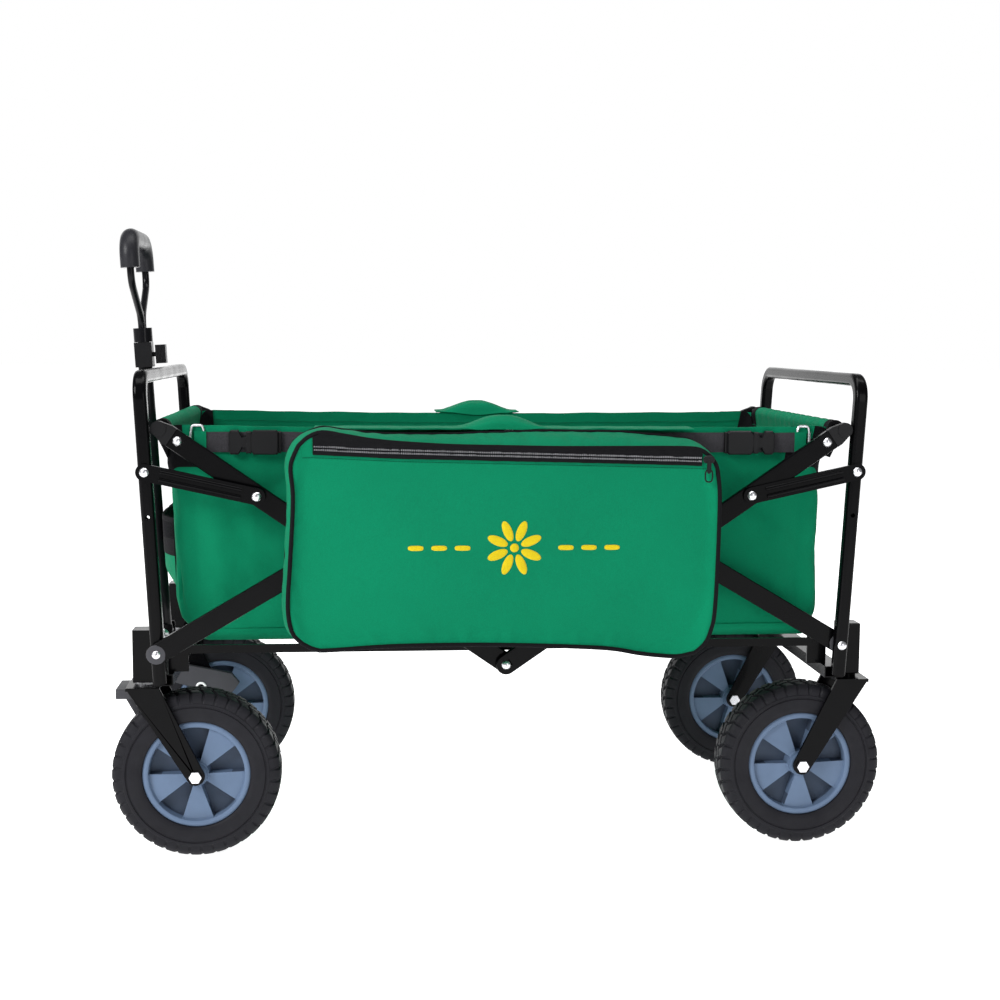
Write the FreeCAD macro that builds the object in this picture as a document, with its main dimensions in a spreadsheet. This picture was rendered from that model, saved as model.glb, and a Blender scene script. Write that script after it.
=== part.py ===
"""Folding wagon with a pull handle, as a parametric document.

Millimetres, +Z up, floor at Z = 0.  -X is the front (handle and swivel wheels),
+X the rear, -Y the near side that carries the bag.  The origin is on the floor in
the middle of the object's box; the wagon's own middle plane is at Y = middle_y.
Every sub-part is modelled about Y = 0 and then moved to the middle plane.
"""
import FreeCAD, Part
import math
import os
import re
import Sketcher
from FreeCAD import Placement, Rotation, Vector

SIZES = (
    ("middle_y", 26.2, "middle plane of the wagon in the object's box"),
    ("wheel_radius", 101.6, "8 inch wheel"),
    ("tyre_width", 45, "across the tread"),
    ("bead_width", 38, "across the tyre at its beads"),
    ("shoulder", 5, "how far the tread's edge steps in from the sidewall"),
    ("rim_radius", 65, "tyre seat on the hub"),
    ("rim_lip", 6.5, "thickness of the hub's outer ring"),
    ("spoke_angle", 38, "degrees that one spoke covers"),
    ("spoke_width", 30, "hub width at the spokes"),
    ("web_half", 4, "half thickness of the disc between the spokes"),
    ("hub_inset", 7, "how much narrower the hub is than the tyre"),
    ("fork_play", 1, "play between a hub's barrel and the fork"),
    ("hub_radius", 13, "barrel of the hub"),
    ("axle_radius", 4, "wheel bolt"),
    ("wheel_x", 372.6, "wheel axle from the middle"),
    ("track_half", 177, "wheel plane from the middle plane"),
    ("fork_gap", 3.5, "tyre to fork leg"),
    ("fork_plate", 4, "thickness of the fork"),
    ("fork_end_radius", 11, "rounded foot of a fork leg"),
    ("bridge_half", 20, "half length of the fork's bridge"),
    ("post_x", 434, "wheel post and kingpin from the middle"),
    ("post_side", 26, "square wheel post"),
    ("post_height", 64, "height of a wheel post"),
    ("post_foot_z", 214, "underside of posts and base bars"),
    ("kingpin_radius", 6, "stem of a swivel fork"),
    ("kingpin_length", 50, "stem above the post's foot"),
    ("washer_gap", 0.3, "play above the swivel washer"),
    ("hoop_half_width", 217, "leg centre line from the middle plane"),
    ("hoop_top_z", 581, "centre line of the hoop's top bar"),
    ("tube_side", 16, "rounded square hoop tube"),
    ("tube_wall", 1.5, "hoop tube wall"),
    ("bend_radius", 26, "hoop bend, on the centre line"),
    ("leg_foot_x", 411.1, "leg centre line at its foot"),
    ("leg_foot_z", 219, "foot of the legs"),
    ("leg_lean", 3, "degrees that a hoop leans outwards"),
    ("base_bar_depth", 24, "base bar along X"),
    ("base_bar_height", 14, "base bar along Z"),
    ("pivot_z", 257, "lower arm pivot on the leg"),
    ("cross_x", 205, "crossing pivot from the middle"),
    ("cross_z", 380, "crossing pivot height"),
    ("centre_drop", 142, "centre pivots above and below the crossing"),
    ("corner_reach", 248, "crossing pivot to rim bar, along the upper arm"),
    ("arm_depth", 24, "arm across its length"),
    ("arm_thickness", 8, "arm along Y"),
    ("arm_wall", 1.5, "arm channel wall"),
    ("layer_gap", 0.5, "play between arms side by side"),
    ("overrun", 1, "how far a cut starts outside the metal"),
    ("leg_gap", 1, "play between a lower arm and its leg"),
    ("cap_length", 18, "corner cap from the arm's end to the rim bar"),
    ("cap_radius", 9, "knuckle of a corner cap"),
    ("cap_shoulder", 6.3, "straight part of a corner cap before it tapers"),
    ("cap_rivet_back", 8, "cap rivet before the arm's end"),
    ("rim_bar_radius", 6, "bar that holds the basket's end"),
    ("pin_radius", 3, "rivets and pivot screws"),
    ("pin_gap", 0.05, "radial play of a pivot"),
    ("head_radius", 5.5, "rivet head"),
    ("head_height", 3, "rivet head"),
    ("spacer_radius", 7, "spacer between two layers"),
    ("spacer_gap", 0.3, "play at a spacer or a head"),
    ("link_z", 471, "short link pivot on the leg"),
    ("link_reach", 109.6, "crossing pivot to link pivot, along the upper arm"),
    ("link_depth", 20, "short link across its length"),
    ("link_thickness", 4, "short link along Y"),
    ("link_rib_radius", 2.4, "pressed ribs of a short link"),
    ("link_rib_inset", 18, "rib's end from a link pivot"),
    ("link_rib_up", 4.4, "rib from the link's centre line"),
    ("rail_x", 388, "floor rail pivot from the middle"),
    ("rail_z", 256, "floor rail height"),
    ("rail_depth", 10, "floor rail along Z"),
    ("rail_thickness", 4.5, "floor rail along Y"),
    ("rail_lap", 9, "floor rail past the middle"),
    ("tub_half_length", 390, "fabric tub"),
    ("tub_half_width", 186, "fabric tub"),
    ("tub_foot_z", 268, "underside of the fabric floor"),
    ("tub_top_z", 527, "top edge of the fabric tub"),
    ("fabric", 2, "fabric thickness"),
    ("pocket_half_width", 150, "drinks pocket on the front end"),
    ("pocket_depth", 16, "drinks pocket along X"),
    ("pocket_foot_z", 320, "drinks pocket"),
    ("pocket_top_z", 405, "drinks pocket"),
    ("bag_half_length", 246, "side bag"),
    ("bag_back_y", 239, "back of the bag from the middle plane"),
    ("bag_depth", 46, "side bag along Y"),
    ("bag_foot_z", 256, "underside of the bag"),
    ("bag_top_z", 528, "top of the bag"),
    ("bag_corner", 34, "corner radius of the bag"),
    ("zip_x", 228, "slider at the closed end of the zipper"),
    ("zip_z", 492, "zipper height at the slider"),
    ("slider_length", 10, "zipper slider along X"),
    ("slider_depth", 3, "zipper slider along Y"),
    ("slider_height", 8, "zipper slider along Z"),
    ("puller_width", 5, "zipper puller along X"),
    ("puller_depth", 1.4, "zipper puller along Y"),
    ("puller_length", 24, "zipper puller"),
    ("strap_z", 504, "webbing centre line"),
    ("strap_height", 24, "webbing width"),
    ("strap_end_x", 360, "webbing end at the ring"),
    ("buckle_x", 300, "middle of a side release buckle"),
    ("buckle_length", 54, "side release buckle"),
    ("buckle_height", 32, "side release buckle"),
    ("buckle_depth", 9, "side release buckle"),
    ("ring_x", 366, "D ring centre from the middle"),
    ("ring_size", 14, "D ring half height"),
    ("ring_wire", 1.6, "D ring wire radius"),
    ("handle_x", 432, "handle pivot from the middle"),
    ("handle_z", 240, "handle pivot height"),
    ("handle_lean", 3.3, "degrees that the parked handle leans outwards"),
    ("eye_radius", 10, "foot of the handle tube"),
    ("eye_half", 11.5, "half width of the handle's foot"),
    ("handle_pin_radius", 4, "handle pivot pin"),
    ("ear_thickness", 4, "one ear of the handle's bracket"),
    ("ear_height", 38, "ear above the base bar's underside"),
    ("ear_margin", 2, "ear ahead of the handle's foot"),
    ("outer_tube_radius", 9, "handle outer tube"),
    ("inner_tube_radius", 7.35, "handle inner tube"),
    ("slide_gap", 0.05, "radial play of the inner tube"),
    ("outer_tube_end", 349, "outer tube end, from the pivot"),
    ("inner_tube_start", 60, "inner tube foot, from the pivot"),
    ("inner_tube_wall", 1.2, "inner tube wall"),
    ("bore_margin", 10, "bore below the inner tube's foot"),
    ("collar_side", 22, "square lock collar"),
    ("collar_length", 32, "lock collar"),
    ("ferrule_radius", 12, "ferrule below the yoke"),
    ("ferrule_length", 18, "ferrule below the yoke"),
    ("yoke_rod", 4.5, "radius of the yoke's rods"),
    ("yoke_foot_y", 6, "rod at the ferrule, from the middle"),
    ("yoke_sunk", 4, "rod's foot inside the ferrule"),
    ("yoke_rise", 14, "straight rod above the ferrule"),
    ("yoke_top", 18, "straight rod below the grip"),
    ("yoke_bend", 22, "bend radius of a rod"),
    ("grip_half", 66, "grip end from the middle"),
    ("yoke_length", 125, "grip end past the outer tube's end"),
    ("grip_rise", 38, "grip end to top bar centre line"),
    ("grip_bend", 26, "grip corner radius"),
    ("grip_radius", 12, "grip section"),
    ("button_travel", 3, "release button stroke"),
    ("pocket_floor", 7.8, "floor of the button's pocket, from the tube axis"),
    ("button_depth", 13, "release button along X"),
    ("button_width", 15, "release button along Y"),
    ("button_height", 24, "release button along Z"),
    ("button_gap", 1, "play behind the pressed button"),
    ("clip_wall", 3, "handle clip on the front hoop"),
    ("clip_web", 2.2, "back of the clip, along X"),
    ("clip_reach", 3, "prong past the handle's tube line"),
    ("clip_height", 13, "handle clip"),
    ("brake_x", 401, "brake lever pivot from the middle"),
    ("brake_z", 133, "brake lever pivot height"),
    ("lever_tail", 54, "brake lever past its pivot, towards the wheel"),
    ("lever_front", 37, "brake lever ahead of its pivot"),
    ("lever_thickness", 9, "brake lever along Y"),
    ("pedal_x", 468, "front edge of the brake pedal from the middle"),
    ("pedal_z", 194, "underside of the brake pedal"),
    ("pedal_length", 26, "brake pedal along X"),
    ("pedal_half", 13, "half width of the pedal"),
    ("pedal_height", 12, "brake pedal"),
    ("pedal_arm", 12, "arm from the pedal to the lever, along X"),
)

doc = FreeCAD.newDocument("folding_wagon")
sheet = doc.addObject("Spreadsheet::Sheet", "sizes")
for row, (alias, value, note) in enumerate(SIZES, start=1):
    sheet.set(f"A{row}", alias)
    sheet.set(f"B{row}", str(value))
    sheet.set(f"C{row}", note)
    sheet.setAlias(f"B{row}", alias)
doc.recompute()

ALIASES = {alias for alias, _, _ in SIZES}
Y_AXIS = Vector(0, 1, 0)
TILT_AXIS = Vector(0, -1, 0)
ALONG_X = Rotation(Vector(0, 1, 0), 90)
TO_NEAR = Rotation(Vector(1, 0, 0), 90)
parts = []


# ---- formulas and small helpers ------------------------------------------------

def bound(formula):
    """The formula with every alias written as a cell of the sheet."""
    return re.sub(r"[a-z_]+", lambda m: "sizes." + m[0] if m[0] in ALIASES else m[0], str(formula))


def bind(obj, **formulas):
    for name, formula in formulas.items():
        obj.setExpression(name, bound(formula))
    return obj


def place(obj, at=(0, 0, 0), rotation=None, angle=None):
    """Put obj at formulas (x, y, z); angle is a formula, about the rotation's axis."""
    if rotation is not None:
        obj.Placement = Placement(Vector(), rotation)
    for axis, formula in zip("xyz", at):
        obj.setExpression(f".Placement.Base.{axis}", bound(formula))
    if angle is not None:
        obj.setExpression(".Placement.Rotation.Angle", bound(angle))
    return obj


def block(name, size, at):
    obj = doc.addObject("Part::Box", name)
    bind(obj, Length=size[0], Width=size[1], Height=size[2])
    return place(obj, at)


def rod(name, radius, length, at, rotation=None):
    obj = doc.addObject("Part::Cylinder", name)
    bind(obj, Radius=radius, Height=length)
    return place(obj, at, rotation)


def across(name, radius, start, stop, x, z):
    """A round bar along -Y, from start to stop outwards from the middle plane."""
    return rod(name, radius, f"{stop} - ({start})", (x, f"-({start})", z), TO_NEAR)


def dome(name, x, out, z, radius="head_radius", height="head_height"):
    """A rivet head that stands out from the distance out, towards -Y."""
    ball = f"(({radius}) ^ 2 + ({height}) ^ 2) / (2 * ({height}))"
    obj = doc.addObject("Part::Sphere", name)
    bind(obj, Radius=ball, Angle1=f"asin(1 - ({height}) / ({ball}))")
    return place(obj, (x, f"-({out}) + {ball} - ({height})", z), TO_NEAR)


def fuse(name, pieces):
    obj = doc.addObject("Part::MultiFuse", name)
    obj.Shapes = pieces
    obj.Refine = True
    return obj


def cut(name, base, tools):
    obj = doc.addObject("Part::Cut", name)
    obj.Base = base
    obj.Tool = tools[0] if len(tools) == 1 else fuse(name + "_tools", tools)
    return obj


def mirror(name, source):
    obj = doc.addObject("Part::Mirroring", name)
    obj.Source = source
    obj.Base = Vector()
    obj.Normal = Y_AXIS
    return obj


def group(name, pieces):
    obj = doc.addObject("Part::Compound", name)
    obj.Links = pieces
    return obj


def both_sides(name, pieces):
    """The pieces of the near side and their mirror images, as separate solids."""
    images = [mirror(piece.Name + "_far", piece) for piece in pieces]
    return group(name, pieces + images)


def finish(label, obj, y="middle_y"):
    """Name a finished sub-part and move it to the middle plane."""
    obj.Label = label
    obj.setExpression(".Placement.Base.y", bound(y))
    parts.append(obj)
    return obj


def outline(name, plane, corners):
    """A PartDesign body with one closed sketch whose corners are bound to formulas."""
    body = doc.addObject("PartDesign::Body", name)
    sketch = body.newObject("Sketcher::SketchObject", name + "_sketch")
    origin = [f for f in body.Origin.OriginFeatures if f.Role == plane]
    sketch.AttachmentSupport = [(origin[0], "")]
    sketch.MapMode = "FlatFace"
    values = [(value_of(u), value_of(v)) for u, v in corners]
    count = len(corners)
    for i in range(count):
        start = Vector(*values[i], 0)
        end = Vector(*values[(i + 1) % count], 0)
        sketch.addGeometry(Part.LineSegment(start, end))
    for i in range(count):
        sketch.addConstraint(Sketcher.Constraint("Coincident", i, 2, (i + 1) % count, 1))
    for i, (u, v) in enumerate(corners):
        for kind, formula, value in (("DistanceX", u, values[i][0]), ("DistanceY", v, values[i][1])):
            index = sketch.addConstraint(Sketcher.Constraint(kind, i, 1, value))
            sketch.setExpression(f"Constraints[{index}]", bound(formula))
    return body, sketch


def value_of(formula):
    """The present value of a formula, read through a scratch cell of the sheet."""
    sheet.set("E1", "=" + str(formula))
    doc.recompute([sheet], True)
    found = sheet.get("E1")
    return float(getattr(found, "Value", found))


def pad(name, plane, corners, thickness):
    body, sketch = outline(name, plane, corners)
    solid = body.newObject("PartDesign::Pad", name + "_pad")
    solid.Profile = sketch
    bind(solid, Length=thickness)
    return body


def revolve(name, corners):
    """A body turned about the Y axis; the corners are (radius, y)."""
    body, sketch = outline(name, "XY_Plane", corners)
    solid = body.newObject("PartDesign::Revolution", name + "_turned")
    solid.Profile = sketch
    solid.ReferenceAxis = (sketch, ["V_Axis"])
    solid.Angle = 360
    return body


# ---- shared formulas -----------------------------------------------------------

FRAME_HALF = "(hoop_half_width + tube_side / 2)"
LEG_INNER = "(hoop_half_width - tube_side / 2)"
PIVOT_X = "(leg_foot_x + (pivot_z - leg_foot_z) * tan(leg_lean * 1 deg))"
LINK_X = "(leg_foot_x + (link_z - leg_foot_z) * tan(leg_lean * 1 deg))"
BRIDGE_Z = "(post_foot_z - 3)"
FORK_INNER = "(tyre_width / 2 + fork_gap)"
FORK_OUTER = "(tyre_width / 2 + fork_gap + fork_plate)"
LEVER_INNER = "(tyre_width / 2 + fork_gap + fork_plate + layer_gap)"
PIN_HOLE = "(pin_radius + pin_gap)"
CENTRE_LOW_Z = "(cross_z - centre_drop)"
CENTRE_TOP_Z = "(cross_z + centre_drop)"
ARM_HALF = "hypot(cross_x; centre_drop)"
LEG_ARM = f"hypot({PIVOT_X} - cross_x; cross_z - pivot_z)"
ARM_ANGLE = "atan2(centre_drop; cross_x)"
LEG_ARM_ANGLE = f"atan2(cross_z - pivot_z; {PIVOT_X} - cross_x)"
CORNER_X = f"(cross_x + corner_reach * cos({ARM_ANGLE}))"
CORNER_Z = f"(cross_z + corner_reach * sin({ARM_ANGLE}))"
LINK_ARM_X = f"(cross_x + link_reach * cos({ARM_ANGLE}))"
LINK_ARM_Z = f"(cross_z + link_reach * sin({ARM_ANGLE}))"

# Distances of each arm's inner face from the middle plane, outermost last.
INNER_FACE = {
    "rear_lower": f"({LEG_INNER} - leg_gap - arm_thickness)",
    "front_upper": f"({FRAME_HALF} - 2 * arm_thickness - layer_gap)",
    "rear_upper": f"({FRAME_HALF} - arm_thickness)",
    "front_lower": f"({FRAME_HALF} + leg_gap)",
}
OUTER_FACE = {arm: f"({face} + arm_thickness)" for arm, face in INNER_FACE.items()}
ENDS = (("rear", ""), ("front", "-"))


def signed(sign, formula):
    return f"{sign}({formula})"


# ---- wheels and forks ----------------------------------------------------------

def tyre(name):
    half = "tyre_width / 2"
    near_side = [
        ("rim_radius", "-(bead_width / 2)"),
        ("rim_radius + rim_lip * 1.4", f"-({half} - shoulder / 5)"),
        ("wheel_radius - 2.4 * shoulder", f"-({half})"),
        ("wheel_radius - 0.8 * shoulder", f"-({half} - shoulder)"),
        ("wheel_radius", f"-({half} - 2.4 * shoulder)"),
    ]
    far_side = [(u, v[1:]) for u, v in reversed(near_side)]
    return revolve(name, near_side + far_side)


def hub(name):
    full = "(tyre_width - hub_inset)"
    ring = across(name + "_ring", "rim_radius", f"-{full} / 2", f"{full} / 2", 0, 0)
    hollow = across(name + "_hollow", "rim_radius - rim_lip", "-tyre_width", "tyre_width", 0, 0)
    lip = cut(name + "_lip", ring, [hollow])
    web = across(name + "_web", "rim_radius - rim_lip / 2", "-web_half", "web_half", 0, 0)
    barrel = across(name + "_barrel", "hub_radius", f"-{FORK_INNER} + fork_play",
                    f"{FORK_INNER} - fork_play", 0, 0)
    spokes = []
    for count in range(5):
        spoke = doc.addObject("Part::Cylinder", f"{name}_spoke_{count}")
        bind(spoke, Radius="rim_radius - rim_lip / 2", Height="spoke_width", Angle="spoke_angle")
        turn = Rotation(Vector(0, -1, 0), 36 + 72 * count)
        place(spoke, (0, "spoke_width / 2", 0), turn * TO_NEAR)
        spokes.append(spoke)
    body = fuse(name + "_body", [lip, web, barrel] + spokes)
    bore = across(name + "_bore", "axle_radius + pin_gap", "-tyre_width", "tyre_width", 0, 0)
    return cut(name, body, [bore])


def fork(name, sign, side=None):
    """Bridge and two tapered legs, about the wheel's own plane; side is given on a swivel fork."""
    lean = f"atan2(post_x - wheel_x; {BRIDGE_Z} - wheel_radius)"
    foot_x = f"fork_end_radius * cos({lean})"
    foot_z = f"fork_end_radius * sin({lean})"
    corners = [
        (signed(sign, "post_x + bridge_half"), BRIDGE_Z),
        (signed(sign, "post_x - bridge_half"), BRIDGE_Z),
        (signed(sign, f"wheel_x - {foot_x}"), f"wheel_radius + {foot_z}"),
        (signed(sign, f"wheel_x + {foot_x}"), f"wheel_radius - {foot_z}"),
    ]
    legs = []
    for face, start in (("out", FORK_INNER), ("in", f"-{FORK_OUTER}")):
        leg = pad(f"{name}_{face}_leg", "XZ_Plane", corners, "fork_plate")
        place(leg, (0, f"-({start})", 0))
        foot = across(f"{name}_{face}_foot", "fork_end_radius", start, f"{start} + fork_plate",
                      signed(sign, "wheel_x"), "wheel_radius")
        legs += [leg, foot]
    corner_x = "post_x - bridge_half" if sign == "" else "-post_x - bridge_half"
    bridge = block(name + "_bridge", ("2 * bridge_half", f"2 * {FORK_OUTER}", "fork_plate"),
                   (corner_x, f"-{FORK_OUTER}", f"{BRIDGE_Z} - fork_plate"))
    pieces = legs + [bridge]
    if side:
        end = f"({LEVER_INNER} + lever_thickness + spacer_gap)"
        shank = across(name + "_brake_shank", "pin_radius", FORK_OUTER, end, "-brake_x", "brake_z")
        rivet = fuse(name + "_brake_rivet", [shank, dome(name + "_brake_head", "-brake_x", end, "brake_z")])
        pieces.append(rivet if side == "far" else mirror(name + "_brake_near", rivet))
    else:
        pieces.append(rod(name + "_seat", "kingpin_radius * 2", f"post_foot_z - {BRIDGE_Z}",
                          (signed(sign, "post_x"), 0, BRIDGE_Z)))
    solid = fuse(name + "_solid", pieces)
    bore = across(name + "_bore", "axle_radius", f"-{FORK_OUTER} - overrun", f"{FORK_OUTER} + overrun",
                  signed(sign, "wheel_x"), "wheel_radius")
    return cut(name, solid, [bore])


def axle(name):
    """Wheel bolt with a hexagon head on one side and a nut on the other."""
    shank = across(name + "_shank", "axle_radius", f"-{FORK_OUTER}", FORK_OUTER, 0, 0)
    ends = []
    for side, start in (("head", FORK_OUTER), ("nut", f"-{FORK_OUTER} - axle_radius * 1.2")):
        hexagon = doc.addObject("Part::Prism", f"{name}_{side}")
        hexagon.Polygon = 6
        bind(hexagon, Circumradius="axle_radius * 1.9", Height="axle_radius * 1.2")
        ends.append(place(hexagon, (0, f"-({start})", 0), TO_NEAR))
    return fuse(name, [shank] + ends)


def kingpin(name):
    """Swivel stem with its thrust washer."""
    stem = rod(name + "_stem", "kingpin_radius", f"kingpin_length + post_foot_z - {BRIDGE_Z}",
               ("-post_x", 0, BRIDGE_Z))
    washer = rod(name + "_washer", "post_side / 2", f"post_foot_z - {BRIDGE_Z} - washer_gap",
                 ("-post_x", 0, BRIDGE_Z))
    return fuse(name, [stem, washer])


def brake_lever(name, side):
    """Side plate on the inner face of the swivel fork, with a foot pedal ahead of the fork."""
    front, low = "-pedal_x", "pedal_z"
    corners = [
        (front, f"{low} + pedal_height"),
        (f"{front} + pedal_arm", f"{low} + pedal_height"),
        ("-brake_x - lever_front * 0.7", "brake_z + lever_front * 0.9"),
        ("-brake_x + lever_tail * 0.8", "brake_z + lever_tail * 0.35"),
        ("-brake_x + lever_tail", "brake_z + lever_tail * 0.1"),
        ("-brake_x + lever_tail * 0.7", "brake_z - lever_tail * 0.3"),
        ("-brake_x - lever_front", "brake_z + lever_front * 0.2"),
        (front, low),
    ]
    plate = place(pad(name + "_plate", "XZ_Plane", corners, "lever_thickness"), (0, f"-{LEVER_INNER}", 0))
    reach = f"({LEVER_INNER} + lever_thickness)"
    pedal = block(name + "_pedal", ("pedal_length", "2 * pedal_half", "pedal_height"),
                  (front, "-pedal_half", low))
    arm = block(name + "_arm", ("pedal_arm", reach, "pedal_height"), (front, f"-{reach}", low))
    bore = across(name + "_bore", PIN_HOLE, "0", "track_half / 2", "-brake_x", "brake_z")
    lever = cut(name, fuse(name + "_body", [plate, pedal, arm]), [bore])
    return lever if side == "far" else mirror(name + "_mirrored", lever)


def make_wheels():
    for end, sign in ENDS:
        for side, side_y in (("near", "middle_y - track_half"), ("far", "middle_y + track_half")):
            at = f"{end}_{side}"
            for label, make in (("tyre", tyre), ("hub", hub), ("axle", axle)):
                piece = place(make(f"{at}_{label}_shape"), (signed(sign, "wheel_x"), 0, "wheel_radius"))
                finish(f"{at}_{label}", piece, side_y)
            fork_shape = fork(f"{at}_fork_shape", sign, side if end == "front" else None)
            finish(f"{at}_fork", fork_shape, side_y)
            if end == "front":
                finish(f"kingpin_{side}", kingpin(f"kingpin_{side}_shape"), side_y)
                finish(f"brake_lever_{side}", brake_lever(f"brake_{side}_shape", side), side_y)


# ---- end frames ----------------------------------------------------------------

def section(side, corner, offset):
    """Rounded square in the plane of the leg's foot, centred on the leg at -Y."""
    half = side / 2
    straight = half - corner
    edges = []
    centres = ((straight, straight), (-straight, straight), (-straight, -straight), (straight, -straight))
    for index, (x, y) in enumerate(centres):
        circle = Part.Circle(Vector(x, y - offset, 0), Vector(0, 0, 1), corner)
        start = index * math.pi / 2
        edges.append(Part.Arc(circle, start, start + math.pi / 2).toShape())
    points = [(edge.valueAt(edge.FirstParameter), edge.valueAt(edge.LastParameter)) for edge in edges]
    loop = []
    for index, edge in enumerate(edges):
        loop += [edge, Part.LineSegment(points[index][1], points[(index + 1) % 4][0]).toShape()]
    return Part.Wire(Part.__sortEdges__(loop))


def hoop(name):
    """Bent tube in its own upright plane: leg, bend, top bar, bend, leg."""
    width = value_of("hoop_half_width")
    rise = value_of("(hoop_top_z - leg_foot_z) / cos(leg_lean * 1 deg)")
    bend = value_of("bend_radius")
    side = value_of("tube_side")
    wall = value_of("tube_wall")
    corner = side * 0.3
    slant = bend * (1 - math.sqrt(0.5))
    foot, shoulder = Vector(0, -width, 0), Vector(0, -width, rise - bend)
    bar_start = Vector(0, -width + bend, rise)
    middle = Vector(0, -width + slant, rise - slant)
    flip = lambda p: Vector(p.x, -p.y, p.z)
    path = Part.Wire([
        Part.LineSegment(foot, shoulder).toShape(),
        Part.Arc(shoulder, middle, bar_start).toShape(),
        Part.LineSegment(bar_start, flip(bar_start)).toShape(),
        Part.Arc(flip(bar_start), flip(middle), flip(shoulder)).toShape(),
        Part.LineSegment(flip(shoulder), flip(foot)).toShape(),
    ])
    outer = path.makePipeShell([section(side, corner, width)], True, False)
    inner = path.makePipeShell([section(side - 2 * wall, corner - wall / 2, width)], True, False)
    tube = doc.addObject("Part::Feature", name + "_tube")
    tube.Shape = outer.cut(inner)
    hole_up = "(cross_z + 38 - leg_foot_z)"
    hole = across(name + "_hole", "2.5", f"-{FRAME_HALF} - 1", f"{FRAME_HALF} + 1", 0, hole_up)
    return cut(name, tube, [hole])


def base_bar(name, sign):
    """Box tube between the leg feet, with the tabs that hold the floor rails."""
    length = f"2 * {LEG_INNER}"
    start_x = "post_x - post_side / 2 - base_bar_depth" if sign == "" else "-post_x + post_side / 2"
    bar = block(name + "_bar", ("base_bar_depth", length, "base_bar_height"),
                (start_x, f"-{LEG_INNER}", "post_foot_z"))
    bore = block(name + "_bore", ("base_bar_depth - 3", length, "base_bar_height - 3"),
                 (f"{start_x} + 1.5", f"-{LEG_INNER}", "post_foot_z + 1.5"))
    tube = cut(name + "_tube", bar, [bore])
    tab_x = "rail_x - 8" if sign == "" else "-rail_x - 16"
    inner = f"({RAIL_INNER['rear' if sign == '' else 'front']} - layer_gap - 3)"
    tab = block(name + "_tab", ("24", "3", "rail_z + 7 - post_foot_z - base_bar_height"),
                (tab_x, f"-({inner} + 3)", "post_foot_z + base_bar_height"))
    pin = across(name + "_pin", "pin_radius", f"{inner} + 3", f"{inner} + 3 + layer_gap + rail_thickness",
                 signed(sign, "rail_x"), "rail_z")
    near = fuse(name + "_tab_and_pin", [tab, pin])
    return fuse(name, [tube, near, mirror(name + "_tab_far", near)])


RAIL_INNER = {
    "rear": "(tub_half_width + 3)",
    "front": "(tub_half_width + 3 + rail_thickness + layer_gap * 2)",
}


def posts(name, sign, bored):
    """Square tubes beside the legs; the front pair carries the kingpins."""
    start_x = "post_x - post_side / 2" if sign == "" else "-post_x - post_side / 2"
    box = block(name + "_box", ("post_side", "post_side", "post_height"),
                (start_x, "-track_half - post_side / 2", "post_foot_z"))
    if bored:
        bore = rod(name + "_bore", "kingpin_radius + pin_gap", "kingpin_length + 2",
                   ("-post_x", "-track_half", "post_foot_z"))
    else:
        bore = block(name + "_bore", ("post_side - 4", "post_side - 4", "post_height - 8"),
                     (f"{start_x} + 2", "-track_half - post_side / 2 + 2", "post_foot_z + 4"))
    return both_sides(name, [cut(name + "_near", box, [bore])])


def frame_pins(name, end, sign):
    """Pivot screws of the lower arms and rivets of the short links, on the legs."""
    lower_x = signed(sign, PIVOT_X)
    link_x = signed(sign, LINK_X)
    out = f"({FRAME_HALF} + spacer_gap + link_thickness + spacer_gap)"
    shank = across(name + "_link_shank", "pin_radius", FRAME_HALF, out, link_x, "link_z")
    link_rivet = fuse(name + "_link_rivet", [shank, dome(name + "_link_head", link_x, out, "link_z")])
    if end == "rear":
        stub = across(name + "_stub", "pin_radius", INNER_FACE["rear_lower"], LEG_INNER, lower_x, "pivot_z")
        screw = dome(name + "_screw", lower_x, FRAME_HALF, "pivot_z")
        return both_sides(name, [link_rivet, stub, screw])
    out = f"({OUTER_FACE['front_lower']} + spacer_gap)"
    shank = across(name + "_shank", "pin_radius", FRAME_HALF, out, lower_x, "pivot_z")
    screw = fuse(name + "_screw", [shank, dome(name + "_head", lower_x, out, "pivot_z")])
    return both_sides(name, [link_rivet, screw])


def make_frames():
    for end, sign in ENDS:
        shape = hoop(end + "_hoop_shape")
        axis = Y_AXIS if end == "rear" else TILT_AXIS
        place(shape, (signed(sign, "leg_foot_x"), 0, "leg_foot_z"), Rotation(axis, 3), "leg_lean")
        finish(end + "_hoop", shape)
        finish(end + "_base_bar", base_bar(end + "_base_shape", sign))
        finish(end + "_posts", posts(end + "_posts_shape", sign, end == "front"))
        finish(end + "_frame_pins", frame_pins(end + "_pins_shape", end, sign))


# ---- folding linkage -----------------------------------------------------------

def bar(name, length, depth, thickness, holes, hollow=True, round_end=True):
    """Flat bar along +X from its first pivot; Y from 0 outwards to -thickness."""
    pieces = [
        block(name + "_flat", (length, thickness, depth), (0, f"-({thickness})", f"-({depth}) / 2")),
        across(name + "_start", f"({depth}) / 2", 0, thickness, 0, 0),
    ]
    if round_end:
        pieces.append(across(name + "_end", f"({depth}) / 2", 0, thickness, length, 0))
    tools = [across(f"{name}_hole_{i}", PIN_HOLE, "-overrun", f"{thickness} + overrun", at, 0)
             for i, at in enumerate(holes)]
    if hollow:
        tools.append(block(name + "_channel",
                           (f"{length} - 2 * ({depth})", f"{thickness} - arm_wall", f"{depth} - 2 * arm_wall"),
                           (depth, f"-({thickness} - arm_wall)", f"-({depth}) / 2 + arm_wall")))
    return cut(name, fuse(name + "_blank", pieces), tools)


def tilt(obj, at, angle):
    """Lay a bar from the point at, at an angle above +X."""
    return place(obj, at, Rotation(TILT_AXIS, 10), angle)


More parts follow.
